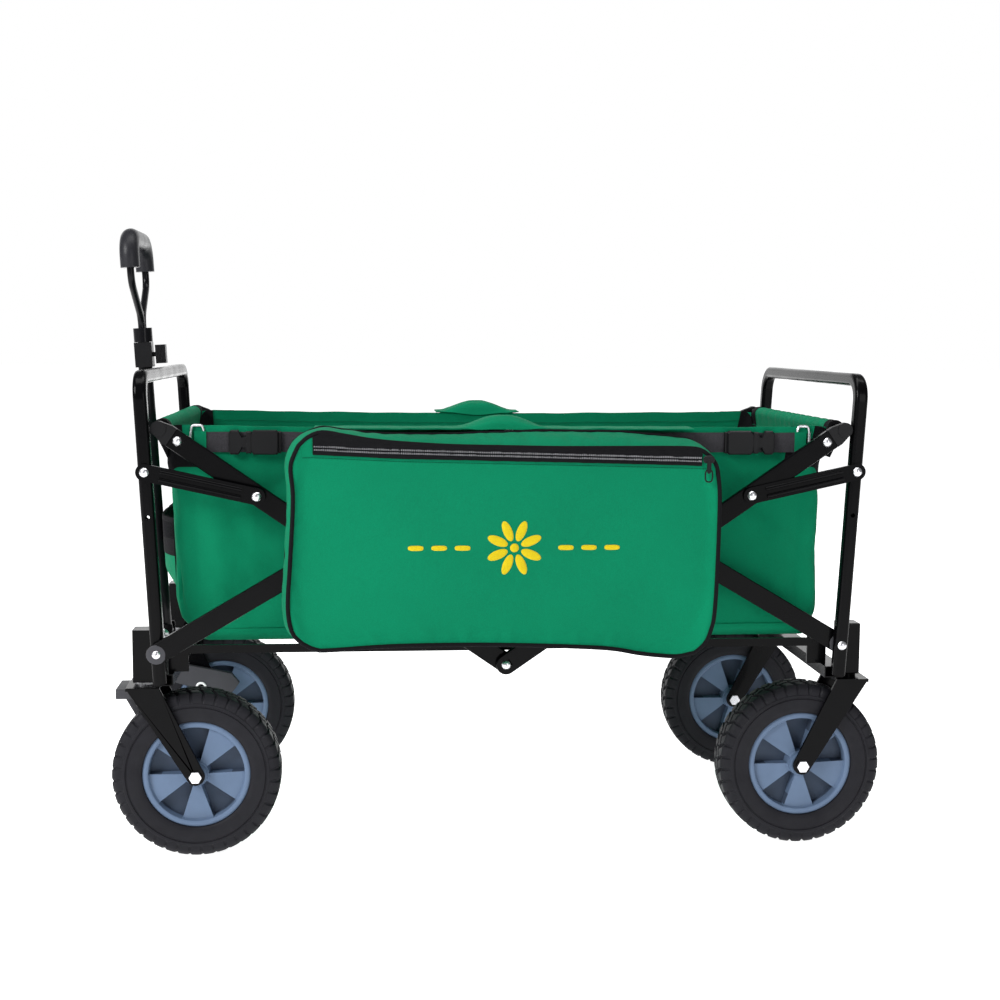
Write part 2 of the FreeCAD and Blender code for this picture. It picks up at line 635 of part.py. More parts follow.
def lower_arm(name, end, sign):
    """Leg pivot to crossing, then a slight bend, then on to the top centre pivot."""
    inner = INNER_FACE[f"{end}_lower"]
    first_angle = f"180 deg - {LEG_ARM_ANGLE}" if end == "rear" else LEG_ARM_ANGLE
    second_angle = f"180 deg - {ARM_ANGLE}" if end == "rear" else ARM_ANGLE
    first = bar(name + "_first", LEG_ARM, "arm_depth", "arm_thickness", ["0", LEG_ARM])
    second = bar(name + "_second", ARM_HALF, "arm_depth", "arm_thickness", ["0", ARM_HALF])
    tilt(first, (signed(sign, PIVOT_X), f"-{inner}", "pivot_z"), first_angle)
    tilt(second, (signed(sign, "cross_x"), f"-{inner}", "cross_z"), second_angle)
    return fuse(name, [first, second])


def upper_arm(name, end):
    """Straight bar from the bottom centre pivot past the crossing to its corner cap."""
    length = f"({ARM_HALF} + corner_reach - cap_length)"
    angle = ARM_ANGLE if end == "rear" else f"180 deg - {ARM_ANGLE}"
    arm = bar(name, length, "arm_depth", "arm_thickness", ["0", ARM_HALF], round_end=False)
    return tilt(arm, (0, f"-{INNER_FACE[end + '_upper']}", CENTRE_LOW_Z), angle)


def corner_cap(name, end):
    """Plastic knuckle on the upper arm's end, with its rivet and the rim bar's eye."""
    start = f"({ARM_HALF} + corner_reach - cap_length)"
    angle = ARM_ANGLE if end == "rear" else f"180 deg - {ARM_ANGLE}"
    corners = [
        (start, "-arm_depth / 2"),
        (f"{start} + cap_shoulder", "-arm_depth / 2"),
        (f"{start} + cap_length", "-cap_radius"),
        (f"{start} + cap_length", "cap_radius"),
        (f"{start} + cap_shoulder", "arm_depth / 2"),
        (start, "arm_depth / 2"),
    ]
    plate = pad(name + "_plate", "XZ_Plane", corners, "arm_thickness")
    knuckle = across(name + "_knuckle", "cap_radius", 0, "arm_thickness + layer_gap * 2", f"{start} + cap_length", 0)
    cap = fuse(name, [plate, knuckle])
    return tilt(cap, (0, f"-{INNER_FACE[end + '_upper']}", CENTRE_LOW_Z), angle)


def cross_pin(name, x, z, inner, outer, gap_start, gap_end):
    """Rivet through two layers, with its head outside and a spacer between them."""
    shank = across(name + "_shank", "pin_radius", inner, outer, x, z)
    spacer = across(name + "_spacer", "spacer_radius", gap_start, gap_end, x, z)
    head = dome(name + "_head", x, outer, z)
    return fuse(name, [shank, spacer, head])


def cap_rivet(name, end, sign):
    reach = "(corner_reach - cap_length - cap_rivet_back)"
    x = signed(sign, f"cross_x + {reach} * cos({ARM_ANGLE})")
    return dome(name, x, OUTER_FACE[end + "_upper"], f"cross_z + {reach} * sin({ARM_ANGLE})")


def short_link(name, end, sign):
    """Pressed link from the leg to the upper arm; its far rivet stays clear of the arm."""
    length = f"hypot({LINK_X} - {LINK_ARM_X}; link_z - {LINK_ARM_Z})"
    dip = f"atan2(link_z - {LINK_ARM_Z}; {LINK_X} - {LINK_ARM_X})"
    angle = f"180 deg + {dip}" if end == "rear" else f"360 deg - {dip}"
    strip = bar(name + "_strip", length, "link_depth", "link_thickness", ["0"], hollow=False)
    ribs = [rod(f"{name}_rib_{i}", "link_rib_radius", f"{length} - 2 * link_rib_inset",
                ("link_rib_inset", "-link_thickness", up), ALONG_X)
            for i, up in enumerate(("-link_rib_up", "link_rib_up"))]
    reach = f"({FRAME_HALF} - {OUTER_FACE[end + '_upper']})"
    pieces = [strip, dome(name + "_head", length, "link_thickness", 0)] + ribs
    if end == "front":
        pieces.append(across(name + "_spacer", "spacer_radius", f"-{reach}", 0, length, 0))
    link = fuse(name, pieces)
    return tilt(link, (signed(sign, LINK_X), f"-({FRAME_HALF} + spacer_gap)", "link_z"), angle)


def floor_rail(name, end, sign):
    """Half rail from the base bar's tab to just past the middle."""
    length = "(rail_x + rail_lap)"
    rail = bar(name, length, "rail_depth", "rail_thickness", ["0"], hollow=False)
    angle = "180 deg" if end == "rear" else "0 deg"
    return tilt(rail, (signed(sign, "rail_x"), f"-{RAIL_INNER[end]}", "rail_z"), angle)


def make_linkage():
    for end, sign in ENDS:
        lower, upper = f"{end}_lower", f"{end}_upper"
        finish(f"{lower}_arms", both_sides(f"{lower}_shape", [lower_arm(f"{lower}_near", end, sign)]))
        finish(f"{upper}_arms", both_sides(f"{upper}_shape", [upper_arm(f"{upper}_near", end)]))
        finish(f"{end}_corner_caps", both_sides(f"{end}_caps_shape", [corner_cap(f"{end}_cap_near", end)]))
        inner = INNER_FACE[upper]
        rim = across(f"{end}_rim_shape", "rim_bar_radius", f"-{inner}", inner,
                     signed(sign, CORNER_X), CORNER_Z)
        finish(f"{end}_rim_bar", group(f"{end}_rim_group", [rim]))
        finish(f"{end}_short_links", both_sides(f"{end}_links_shape", [short_link(f"{end}_link", end, sign)]))
        finish(f"{end}_floor_rails", both_sides(f"{end}_rails_shape", [floor_rail(f"{end}_rail", end, sign)]))
    rear = cross_pin("rear_cross_pin", "cross_x", "cross_z", INNER_FACE["rear_lower"], OUTER_FACE["rear_upper"],
                     f"{OUTER_FACE['rear_lower']} + spacer_gap", INNER_FACE["rear_upper"])
    front = cross_pin("front_cross_pin", "-cross_x", "cross_z", INNER_FACE["front_upper"],
                      OUTER_FACE["front_lower"], f"{OUTER_FACE['front_upper']} + spacer_gap",
                      INNER_FACE["front_lower"])
    top = cross_pin("top_pin", 0, CENTRE_TOP_Z, INNER_FACE["rear_lower"], OUTER_FACE["front_lower"],
                    f"{OUTER_FACE['rear_lower']} + spacer_gap", INNER_FACE["front_lower"])
    low_shank = across("low_shank", "pin_radius", INNER_FACE["front_upper"], OUTER_FACE["rear_upper"],
                       0, CENTRE_LOW_Z)
    low = fuse("low_pin", [low_shank, dome("low_head", 0, OUTER_FACE["rear_upper"], CENTRE_LOW_Z)])
    pins = (
        ("rear_arm_rivets", [rear, cap_rivet("rear_cap_rivet", "rear", "")]),
        ("front_cap_rivets", [cap_rivet("front_cap_rivet", "front", "-")]),
        ("centre_rivets", [front, top]),
        ("bottom_centre_screws", [low]),
    )
    for label, pieces in pins:
        finish(label, both_sides(label + "_shape", pieces))


# ---- soft goods and their hardware ---------------------------------------------

def tub(name):
    """Open fabric box: floor and four walls."""
    size = ("2 * tub_half_length", "2 * tub_half_width", "tub_top_z - tub_foot_z")
    outer = block(name + "_outer", size, ("-tub_half_length", "-tub_half_width", "tub_foot_z"))
    hollow = block(name + "_hollow",
                   ("2 * (tub_half_length - fabric)", "2 * (tub_half_width - fabric)", "tub_top_z"),
                   ("-tub_half_length + fabric", "-tub_half_width + fabric", "tub_foot_z + fabric"))
    return cut(name, outer, [hollow])


def front_pocket(name):
    """Flat pocket outside the front end wall, open at the top."""
    size = ("pocket_depth", "2 * pocket_half_width", "pocket_top_z - pocket_foot_z")
    outer = block(name + "_outer", size,
                  ("-tub_half_length - pocket_depth", "-pocket_half_width", "pocket_foot_z"))
    hollow = block(name + "_hollow",
                   ("pocket_depth - fabric", "2 * (pocket_half_width - fabric)", "pocket_top_z"),
                   ("-tub_half_length - pocket_depth + fabric", "-pocket_half_width + fabric",
                    "pocket_foot_z + fabric"))
    return cut(name, outer, [hollow])


def side_bag(name):
    """Closed pillow block with four round corners."""
    depth = "bag_depth"
    start = "-bag_back_y - bag_depth"
    wide = block(name + "_wide", ("2 * bag_half_length", depth, "bag_top_z - bag_foot_z - 2 * bag_corner"),
                 ("-bag_half_length", start, "bag_foot_z + bag_corner"))
    tall = block(name + "_tall", ("2 * (bag_half_length - bag_corner)", depth, "bag_top_z - bag_foot_z"),
                 ("-bag_half_length + bag_corner", start, "bag_foot_z"))
    pieces = [wide, tall]
    for sign in ("", "-"):
        for z in ("bag_foot_z + bag_corner", "bag_top_z - bag_corner"):
            pieces.append(across(f"{name}_corner_{len(pieces)}", "bag_corner", "bag_back_y",
                                 "bag_back_y + bag_depth", signed(sign, "bag_half_length - bag_corner"), z))
    return fuse(name, pieces)


def zipper_slider(name):
    """Slider body on the zipper with its hanging puller."""
    front = "(bag_back_y + bag_depth + spacer_gap)"
    body = block(name + "_body", ("slider_length", "slider_depth", "slider_height"),
                 ("zip_x - slider_length / 2", f"-{front} - slider_depth", "zip_z - slider_height / 2"))
    puller = block(name + "_puller", ("puller_width", "puller_depth", "puller_length"),
                   ("zip_x - puller_width / 2", f"-{front} - slider_depth - puller_depth",
                    "zip_z + layer_gap * 2 - puller_length"))
    return fuse(name, [body, puller])


def bag_straps(name):
    """Webbing along the tub's near side, from ring to ring behind the bag."""
    return block(name, ("2 * strap_end_x", "fabric", "strap_height"),
                 ("-strap_end_x", "-tub_half_width - fabric - layer_gap", "strap_z - strap_height / 2"))


def strap_hardware(name, sign):
    """One buckle and one D ring, on the outside of the webbing's line."""
    skin = "(tub_half_width + fabric + 2 * layer_gap)"
    buckle = block(name + "_buckle", ("buckle_length", "buckle_depth", "buckle_height"),
                   ("buckle_x - buckle_length / 2" if sign == "" else "-buckle_x - buckle_length / 2",
                    f"-{skin} - buckle_depth", "strap_z - buckle_height / 2"))
    ring = doc.addObject("Part::Torus", name + "_ring")
    bind(ring, Radius1="ring_size - ring_wire", Radius2="ring_wire")
    place(ring, (signed(sign, "ring_x"), f"-{skin} - ring_wire", "strap_z"), TO_NEAR)
    return group(name, [buckle, ring])


def make_soft_goods():
    finish("tub", tub("tub_shape"))
    finish("front_pocket", front_pocket("pocket_shape"))
    finish("side_bag", side_bag("bag_shape"))
    finish("zipper_slider", zipper_slider("slider_shape"))
    straps = bag_straps("straps_shape")
    finish("bag_straps", straps, "middle_y - tub_half_width - fabric - layer_gap")
    finish("rear_strap_hardware", strap_hardware("rear_hardware_shape", ""))
    finish("front_strap_hardware", strap_hardware("front_hardware_shape", "-"))


# ---- pull handle ---------------------------------------------------------------
# The handle is modelled upright above its pivot and then leaned.

def handle_bracket(name):
    """Two ears on the front base bar."""
    front = "eye_radius + ear_margin"
    ear = block(name + "_ear",
                (f"handle_x - post_x + post_side / 2 + {front}", "ear_thickness", "ear_height"),
                (f"-handle_x - ({front})", "-eye_half - layer_gap - ear_thickness", "post_foot_z"))
    bore = across(name + "_bore", "handle_pin_radius", "0", "track_half / 2", "-handle_x", "handle_z")
    return both_sides(name, [cut(name + "_near", ear, [bore])])


def handle_pin(name):
    half = "(eye_half + layer_gap + ear_thickness)"
    shank = across(name + "_shank", "handle_pin_radius", f"-{half}", half, "-handle_x", "handle_z")
    heads = [dome(name + "_head", "-handle_x", half, "handle_z", "handle_pin_radius * 1.6")]
    heads.append(mirror(name + "_head_far", heads[0]))
    return fuse(name, [shank] + heads)


def handle_tube(name):
    """Outer tube with a cross eye at its foot."""
    eye = across(name + "_eye", "eye_radius", "-eye_half", "eye_half", 0, 0)
    tube = rod(name + "_tube", "outer_tube_radius", "outer_tube_end", (0, 0, 0))
    body = fuse(name + "_body", [eye, tube])
    bore = rod(name + "_bore", "inner_tube_radius + slide_gap", "outer_tube_end",
               (0, 0, "inner_tube_start - bore_margin"))
    hole = across(name + "_hole", "handle_pin_radius + pin_gap", "-track_half", "track_half", 0, 0)
    return cut(name, body, [bore, hole])


def handle_collar(name):
    """Lock collar on top of the outer tube, with the release button's pocket."""
    body = block(name + "_body", ("collar_side", "collar_side", "collar_length"),
                 ("-collar_side / 2", "-collar_side / 2", "outer_tube_end"))
    bore = rod(name + "_bore", "inner_tube_radius + slide_gap", "collar_length", (0, 0, "outer_tube_end"))
    pocket = rod(name + "_pocket", "pin_radius + pin_gap", "collar_side / 2 - pocket_floor",
                 ("pocket_floor", 0, "outer_tube_end + collar_length / 2"), ALONG_X)
    return cut(name, body, [bore, pocket])


def handle_button(name):
    """Ribbed release button on a short stem."""
    mid = "(outer_tube_end + collar_length / 2)"
    face = "(collar_side / 2 + button_travel + button_gap)"
    tip = "(pocket_floor + button_travel + slide_gap)"
    stem = rod(name + "_stem", "pin_radius", f"{face} - {tip}", (tip, 0, mid), ALONG_X)
    cap = block(name + "_cap", ("button_depth", "button_width", "button_height"),
                (face, "-button_width / 2", f"{mid} - button_height / 2"))
    return fuse(name, [stem, cap])


def inner_tube(name):
    start = "inner_tube_start"
    length = "outer_tube_end + collar_length + spacer_gap - inner_tube_start"
    tube = rod(name + "_outer", "inner_tube_radius", length, (0, 0, start))
    bore = rod(name + "_bore", "inner_tube_radius - inner_tube_wall", length, (0, 0, start))
    return cut(name, tube, [bore])


def swept(name, points, radius, bend):
    """A round bar along straight runs joined by tangent arcs, in the YZ plane."""
    edges = []
    last = points[0]
    for before, corner, after in zip(points, points[1:], points[2:]):
        into = (corner - before).normalize()
        out = (after - corner).normalize()
        half_turn = into.getAngle(out) / 2
        reach = bend * math.tan(half_turn)
        start = corner - into * reach
        end = corner + out * reach
        bisector = (out - into).normalize()
        depth = math.hypot(bend, reach) - bend
        edges.append(Part.LineSegment(last, start).toShape())
        edges.append(Part.Arc(start, corner + bisector * depth, end).toShape())
        last = end
    edges.append(Part.LineSegment(last, points[-1]).toShape())
    along = (points[1] - points[0]).normalize()
    profile = Part.Wire(Part.Circle(points[0], along, radius).toShape())
    feature = doc.addObject("Part::Feature", name)
    feature.Shape = Part.Wire(edges).makePipeShell([profile], True, False)
    return feature


def handle_yoke(name):
    """Ferrule and two rods that spread to the grip's ends."""
    foot = value_of("outer_tube_end + collar_length + spacer_gap")
    top = value_of("outer_tube_end + yoke_length")
    base = foot + value_of("ferrule_length")
    narrow = value_of("yoke_foot_y")
    wide = value_of("grip_half")
    ferrule = rod(name + "_ferrule", "ferrule_radius", "ferrule_length",
                  (0, 0, "outer_tube_end + collar_length + spacer_gap"))
    pieces = [ferrule]
    for label, side in (("near", -1), ("far", 1)):
        route = [Vector(0, side * narrow, base - value_of("yoke_sunk")),
                 Vector(0, side * narrow, base + value_of("yoke_rise")),
                 Vector(0, side * wide, top - value_of("yoke_top")), Vector(0, side * wide, top)]
        pieces.append(swept(f"{name}_{label}", route, value_of("yoke_rod"), value_of("yoke_bend")))
    return fuse(name, pieces)


def handle_grip(name):
    """Arched grip: two short ends and a top bar."""
    half = value_of("grip_half")
    foot = value_of("outer_tube_end + yoke_length")
    top = foot + value_of("grip_rise")
    route = [Vector(0, -half, foot), Vector(0, -half, top), Vector(0, half, top), Vector(0, half, foot)]
    return swept(name, route, value_of("grip_radius"), value_of("grip_bend"))


def handle_clip(name):
    """Plastic clip on the front hoop's top bar; its prongs stand beside the tube."""
    lean = "tan(handle_lean * 1 deg)"
    tube_x = f"(handle_x + (hoop_top_z - handle_z) * {lean})"
    bar_x = "(leg_foot_x + (hoop_top_z - leg_foot_z) * tan(leg_lean * 1 deg) + tube_side / 2 + layer_gap)"
    foot = "(hoop_top_z - clip_height / 2)"
    inner = "(outer_tube_radius + 2 * layer_gap)"
    prong = block(name + "_prong", (f"{tube_x} - {bar_x} + clip_reach", "clip_wall", "clip_height"),
                  (f"-{tube_x} - clip_reach", f"-{inner} - clip_wall", foot))
    web = block(name + "_web", ("clip_web", f"2 * ({inner} + clip_wall)", "clip_height"),
                (f"-{bar_x} - 2", f"-{inner} - clip_wall", foot))
    return fuse(name, [prong, mirror(name + "_prong_far", prong), web])


def make_handle():
    finish("handle_bracket", handle_bracket("bracket_shape"))
    finish("handle_pin", handle_pin("handle_pin_shape"))
    finish("handle_clip", handle_clip("clip_shape"))
    makers = (("handle_tube", handle_tube), ("handle_collar", handle_collar),
              ("handle_button", handle_button), ("handle_inner_tube", inner_tube),
              ("handle_yoke", handle_yoke), ("handle_grip", handle_grip))
    for label, make in makers:
        piece = make(label + "_shape")
        if piece.TypeId == "Part::Feature":
            piece = group(label + "_leaned", [piece])
        place(piece, ("-handle_x", 0, "handle_z"), Rotation(TILT_AXIS, 3), "handle_lean")
        finish(label, piece)


make_frames()
make_wheels()
make_linkage()
make_soft_goods()
make_handle()
sheet.clear("E1")
doc.recompute()

for obj in doc.Objects:
    if "Invalid" in obj.State or "Error" in obj.State:
        raise RuntimeError(f"{obj.Name} failed to compute: {obj.State}")
for obj in parts:
    if obj.Shape.isNull() or not obj.Shape.isValid():
        raise RuntimeError(f"{obj.Label} has no valid shape")

os.makedirs("parts", exist_ok=True)
for obj in parts:
    obj.Shape.exportStep(f"parts/{obj.Label}.step")
whole = Part.makeCompound([obj.Shape for obj in parts]).BoundBox
print(f"{len(parts)} nodes, X {whole.XMin:.1f} {whole.XMax:.1f}, "
      f"Y {whole.YMin:.1f} {whole.YMax:.1f}, Z {whole.ZMin:.1f} {whole.ZMax:.1f}")
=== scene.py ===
"""Folding wagon with a pull handle: the looks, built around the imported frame."""

import math

import bpy
import numpy as np
from mathutils import Matrix, Vector, noise
from mathutils.bvhtree import BVHTree


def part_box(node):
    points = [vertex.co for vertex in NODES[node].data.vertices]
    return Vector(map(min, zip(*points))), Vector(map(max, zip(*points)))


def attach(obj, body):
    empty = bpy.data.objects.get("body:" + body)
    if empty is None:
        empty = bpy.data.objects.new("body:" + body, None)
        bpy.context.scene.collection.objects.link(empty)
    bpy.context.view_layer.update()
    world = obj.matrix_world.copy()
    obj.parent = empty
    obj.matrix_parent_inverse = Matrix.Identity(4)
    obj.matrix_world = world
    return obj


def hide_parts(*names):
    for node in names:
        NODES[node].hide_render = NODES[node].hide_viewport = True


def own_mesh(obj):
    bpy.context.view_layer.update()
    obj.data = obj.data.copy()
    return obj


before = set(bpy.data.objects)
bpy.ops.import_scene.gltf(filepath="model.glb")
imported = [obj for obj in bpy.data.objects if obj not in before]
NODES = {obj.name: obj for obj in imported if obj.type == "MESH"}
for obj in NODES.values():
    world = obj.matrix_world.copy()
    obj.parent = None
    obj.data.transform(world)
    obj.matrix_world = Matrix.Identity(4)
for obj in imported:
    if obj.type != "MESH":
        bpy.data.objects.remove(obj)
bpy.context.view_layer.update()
MM = 0.001
TAU = 2 * math.pi


def centre(node):
    low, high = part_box(node)
    return (low + high) / 2


MID_Y = centre("tub").y


def at(x, y, z):
    """A point in millimetres from the wagon's middle plane, in the row frame."""
    return Vector((x * MM, MID_Y + y * MM, z * MM))


# ---- shaders -------------------------------------------------------------------

class Shader:
    """A Principled material with short calls for its nodes."""

    def __init__(self, name, color, roughness, **sockets):
        self.material = bpy.data.materials.new(name)
        self.material.use_nodes = True
        self.tree = self.material.node_tree
        self.bsdf = self.tree.nodes["Principled BSDF"]
        self.bsdf.inputs["Base Color"].default_value = (*color, 1)
        self.bsdf.inputs["Roughness"].default_value = roughness
        for key, value in sockets.items():
            self.bsdf.inputs[key.replace("_", " ")].default_value = value
        self.color = color
        self.coords = self.node("TexCoord")

    def node(self, kind, inputs=None, **settings):
        made = self.tree.nodes.new("ShaderNode" + kind)
        for key, value in settings.items():
            setattr(made, key, value)
        for key, value in (inputs or {}).items():
            if isinstance(value, bpy.types.NodeSocket):
                self.tree.links.new(value, made.inputs[key])
            else:
                made.inputs[key].default_value = value
        return made

    def math(self, operation, a, b=0.0):
        return self.node("Math", {0: a, 1: b}, operation=operation).outputs[0]

    def noise(self, scale, detail=3.0, roughness=0.55):
        inputs = {"Vector": self.coords.outputs["Object"], "Scale": scale, "Detail": detail,
                  "Roughness": roughness}
        return self.node("TexNoise", inputs).outputs["Fac"]

    def ramp(self, factor, low, high, start=0.3, end=0.7):
        inputs = {"Value": factor, "From Min": start, "From Max": end, "To Min": low, "To Max": high}
        return self.node("MapRange", inputs).outputs[0]

    def tint(self, factor, low, high):
        """Base colour between low and high times its plain value."""
        mixed = self.node("Mix", {"Factor": factor}, data_type="RGBA")
        for socket, share in ((6, low), (7, high)):
            mixed.inputs[socket].default_value = (*(c * share for c in self.color), 1)
        self.tree.links.new(mixed.outputs[2], self.bsdf.inputs["Base Color"])

    def rough(self, factor, low, high):
        self.tree.links.new(self.ramp(factor, low, high), self.bsdf.inputs["Roughness"])

    def bump(self, height, distance, strength=1.0):
        inputs = {"Height": height, "Distance": distance, "Strength": strength}
        self.tree.links.new(self.node("Bump", inputs).outputs[0], self.bsdf.inputs["Normal"])

    def threads(self, pitch_x, pitch_y, pitch_z):
        """Over and under of a plain weave on whichever plane the surface lies in."""
        place = self.node("SeparateXYZ", {0: self.coords.outputs["Object"]})
        facing = self.node("SeparateXYZ", {0: self.coords.outputs["Normal"]})
        waves = [self.math("SINE", self.math("MULTIPLY", place.outputs[i], TAU / pitch))
                 for i, pitch in enumerate((pitch_x, pitch_y, pitch_z))]
        total = None
        for plane in range(3):
            first, second = (waves[i] for i in range(3) if i != plane)
            share = self.math("ABSOLUTE", facing.outputs[plane])
            part = self.math("MULTIPLY", self.math("MULTIPLY", first, second), share)
            total = part if total is None else self.math("ADD", total, part)
        return total


def paint(name, color, roughness, coat):
    """Gloss powder coat: faint orange peel and handling marks."""
    shader = Shader(name, color, roughness, Coat_Weight=coat, Coat_Roughness=0.05, Specular_IOR_Level=0.06)
    shader.rough(shader.noise(14, 5), roughness * 0.75, roughness * 1.5)
    shader.tint(shader.noise(60, 4), 0.7, 1.5)
    shader.bump(shader.noise(420, 2), 0.00012, 0.35)
    return shader.material


def plastic(name, color, roughness, grain=1500, depth=0.00006):
    """Moulded plastic: fine eroded grain and slight blotches."""
    shader = Shader(name, color, roughness, Specular_IOR_Level=0.16)
    shader.rough(shader.noise(30, 4), roughness * 0.85, roughness * 1.15)
    shader.tint(shader.noise(45, 5), 0.88, 1.12)
    shader.bump(shader.noise(grain, 2), depth)
    return shader.material


def metal(name, color, roughness):
    shader = Shader(name, color, roughness, Metallic=1.0)
    shader.rough(shader.noise(350, 4), roughness * 0.7, roughness * 1.6)
    shader.bump(shader.noise(700, 2), 0.00003, 0.5)
    return shader.material


def rubber():
    shader = Shader("tyre_rubber", (0.009, 0.0088, 0.0115), 0.6, Specular_IOR_Level=0.14)
    shader.rough(shader.noise(26, 5), 0.44, 0.68)
    shader.tint(shader.noise(70, 6), 0.75, 1.35)
    shader.bump(shader.noise(900, 3), 0.00014)
    return shader.material


def cloth(name, color, pitch, low=0.8, high=1.15, sheen=0.02):
    """Plain woven polyester: threads, slubs, and soft colour drift."""
    shader = Shader(name, color, 0.86, Sheen_Weight=sheen, Sheen_Roughness=0.45, Specular_IOR_Level=0.1)
    weave = shader.threads(*(pitch if isinstance(pitch, tuple) else (pitch,) * 3))
    slub = shader.noise(650, 4, 0.7)
    drift = shader.noise(7, 3)
    light = shader.math("ADD", shader.math("MULTIPLY", weave, 0.13), shader.math("MULTIPLY", drift, 0.45))
    light = shader.math("ADD", light, shader.math("MULTIPLY", slub, 0.6))
    shader.tint(shader.ramp(light, 0.0, 1.0, 0.25, 0.8), low, high)
    height = shader.math("ADD", shader.math("MULTIPLY", weave, 0.5), slub)
    shader.bump(height, 0.0003, 0.8)
    return shader.material


BLACK = paint("black_powder_coat", (0.001, 0.001, 0.0013), 0.2, 0.05)
TUBE = paint("black_tube", (0.004, 0.004, 0.005), 0.24, 0.12)
STEEL = metal("zinc_plate", (0.74, 0.74, 0.77), 0.27)
TEETH = metal("zip_coil", (0.36, 0.36, 0.38), 0.3)
RUBBER = rubber()
HUB = plastic("hub_blue_grey", (0.098, 0.142, 0.222), 0.42)
# Darker copy of the hub plastic for the pocket floors: painted shade in the recesses between the spokes.
HUB_POCKET_SHADE = plastic("hub_pocket_painted_shade", (0.045, 0.062, 0.095), 0.5)
PLASTIC = plastic("black_plastic", (0.005, 0.005, 0.0058), 0.38)
GREY_PLASTIC = plastic("dark_grey_plastic", (0.045, 0.045, 0.051), 0.5)
GRIP = plastic("grip_grey", (0.016, 0.016, 0.019), 0.36, 900, 0.0001)
PALE = plastic("pale_plastic", (0.75, 0.75, 0.76), 0.4)
GREEN = cloth("green_cloth", (0.0, 0.172, 0.08), 0.0011)
GREEN_DARK = cloth("green_thread", (0.0, 0.09, 0.042), 0.0007)
WEBBING = cloth("black_webbing", (0.032, 0.031, 0.035), (0.0021, 0.0016, 0.0016), 0.4, 1.9, 0.02)
BINDING = cloth("black_binding", (0.0045, 0.0045, 0.0055), 0.0012, 0.7, 1.3, 0.0)
MESH = cloth("black_mesh", (0.012, 0.012, 0.014), 0.0016, 0.3, 1.8, 0.03)
YELLOW = cloth("yellow_thread", (0.6, 0.46, 0.008), (0.0009, 0.0009, 0.0009), 0.8, 1.15, 0.2)


# ---- mesh helpers --------------------------------------------------------------

def build(name, points, faces, material, body, slot=None, hides=(), sharp=35, levels=0):
    """A mesh piece from points in the row frame, riding on a CAD body."""
    mesh = bpy.data.meshes.new(name)
    mesh.from_pydata([tuple(float(c) for c in p) for p in points], [],
                     [tuple(int(i) for i in f) for f in faces])
    mesh.materials.append(material)
    mesh.polygons.foreach_set("use_smooth", [True] * len(mesh.polygons))
    piece = bpy.data.objects.new(name, mesh)
    bpy.context.scene.collection.objects.link(piece)
    if sharp:
        mesh.set_sharp_from_angle(angle=math.radians(sharp))
    if levels:
        piece.modifiers.new("smooth", "SUBSURF").levels = levels
        piece.modifiers["smooth"].render_levels = levels
    if body:
        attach(piece, body)
    if hides:
        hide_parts(*hides)
    return piece


def grid_faces(rows, columns, wrap_rows=False, wrap_columns=False, start=0):
    """Quads of a grid whose points are stored row by row."""
    faces = []
    for i in range(rows if wrap_rows else rows - 1):
        for j in range(columns if wrap_columns else columns - 1):
            a, b = i * columns, (i + 1) % rows * columns
            k = (j + 1) % columns
            faces.append((start + a + j, start + b + j, start + b + k, start + a + k))
    return faces


def merge(parts):
    """Several (points, faces) as one."""
    points, faces = [], []
    for some, quads in parts:
        start = len(points)
        points += list(some)
        faces += [tuple(i + start for i in f) for f in quads]
    return points, faces


def circle(radius, sides=10, squash=1.0, power=2.0):
    """Section points; power above 2 makes the circle squarer."""
    turn = np.arange(sides) * TAU / sides
    c, s = np.cos(turn), np.sin(turn)
    length = (np.abs(c) ** power + np.abs(s) ** power) ** (-1 / power)
    return np.stack([radius * c * length, radius * squash * s * length], 1)


def sweep(path, section, closed=False, up=Vector((0, 0, 1)), scale=None):
    """(points, faces) of a section carried along a path in the row frame."""
    path = [Vector(p) for p in path]
    count, points = len(path), []
    side = None
    for i, p in enumerate(path):
        ahead = path[(i + 1) % count] if closed or i + 1 < count else p
        behind = path[i - 1] if closed or i > 0 else p
        tangent = (ahead - behind).normalized()
        reference = up if side is None else side.cross(tangent) * -1
        if side is None:
            side = tangent.cross(reference)
            if side.length < 1e-6:
                side = tangent.cross(Vector((1, 0, 0)))
        side = (side - tangent * side.dot(tangent)).normalized()
        other = side.cross(tangent)
        share = scale[i] if scale is not None else 1.0
        for u, v in section:
            points.append(p + side * (u * share) + other * (v * share))
    sides = len(section)
    faces = grid_faces(count, sides, closed, True)
    if not closed:
        faces += [tuple(range(sides))[::-1], tuple((count - 1) * sides + k for k in range(sides))]
    return points, faces


def spline(controls, count, closed=False):
    """Points spaced evenly along a smooth line through the controls."""
    controls = np.array(controls, float)
    n = len(controls)
    fine = []
    for i in range(n if closed else n - 1):
        if closed:
            quad = [controls[(i + k) % n] for k in (-1, 0, 1, 2)]
        else:
            quad = [controls[min(max(i + k, 0), n - 1)] for k in (-1, 0, 1, 2)]
        for t in np.linspace(0, 1, 16, endpoint=False):
            a, b, c, d = quad
            fine.append(0.5 * (2 * b + (c - a) * t + (2 * a - 5 * b + 4 * c - d) * t ** 2
                               + (3 * b - a - 3 * c + d) * t ** 3))
    fine.append(controls[0] if closed else controls[-1])
    fine = np.array(fine)
    run = np.concatenate([[0], np.cumsum(np.linalg.norm(np.diff(fine, axis=0), axis=1))])
    wanted = np.linspace(0, run[-1], count, endpoint=not closed)
    return np.stack([np.interp(wanted, run, fine[:, k]) for k in range(fine.shape[1])], 1)


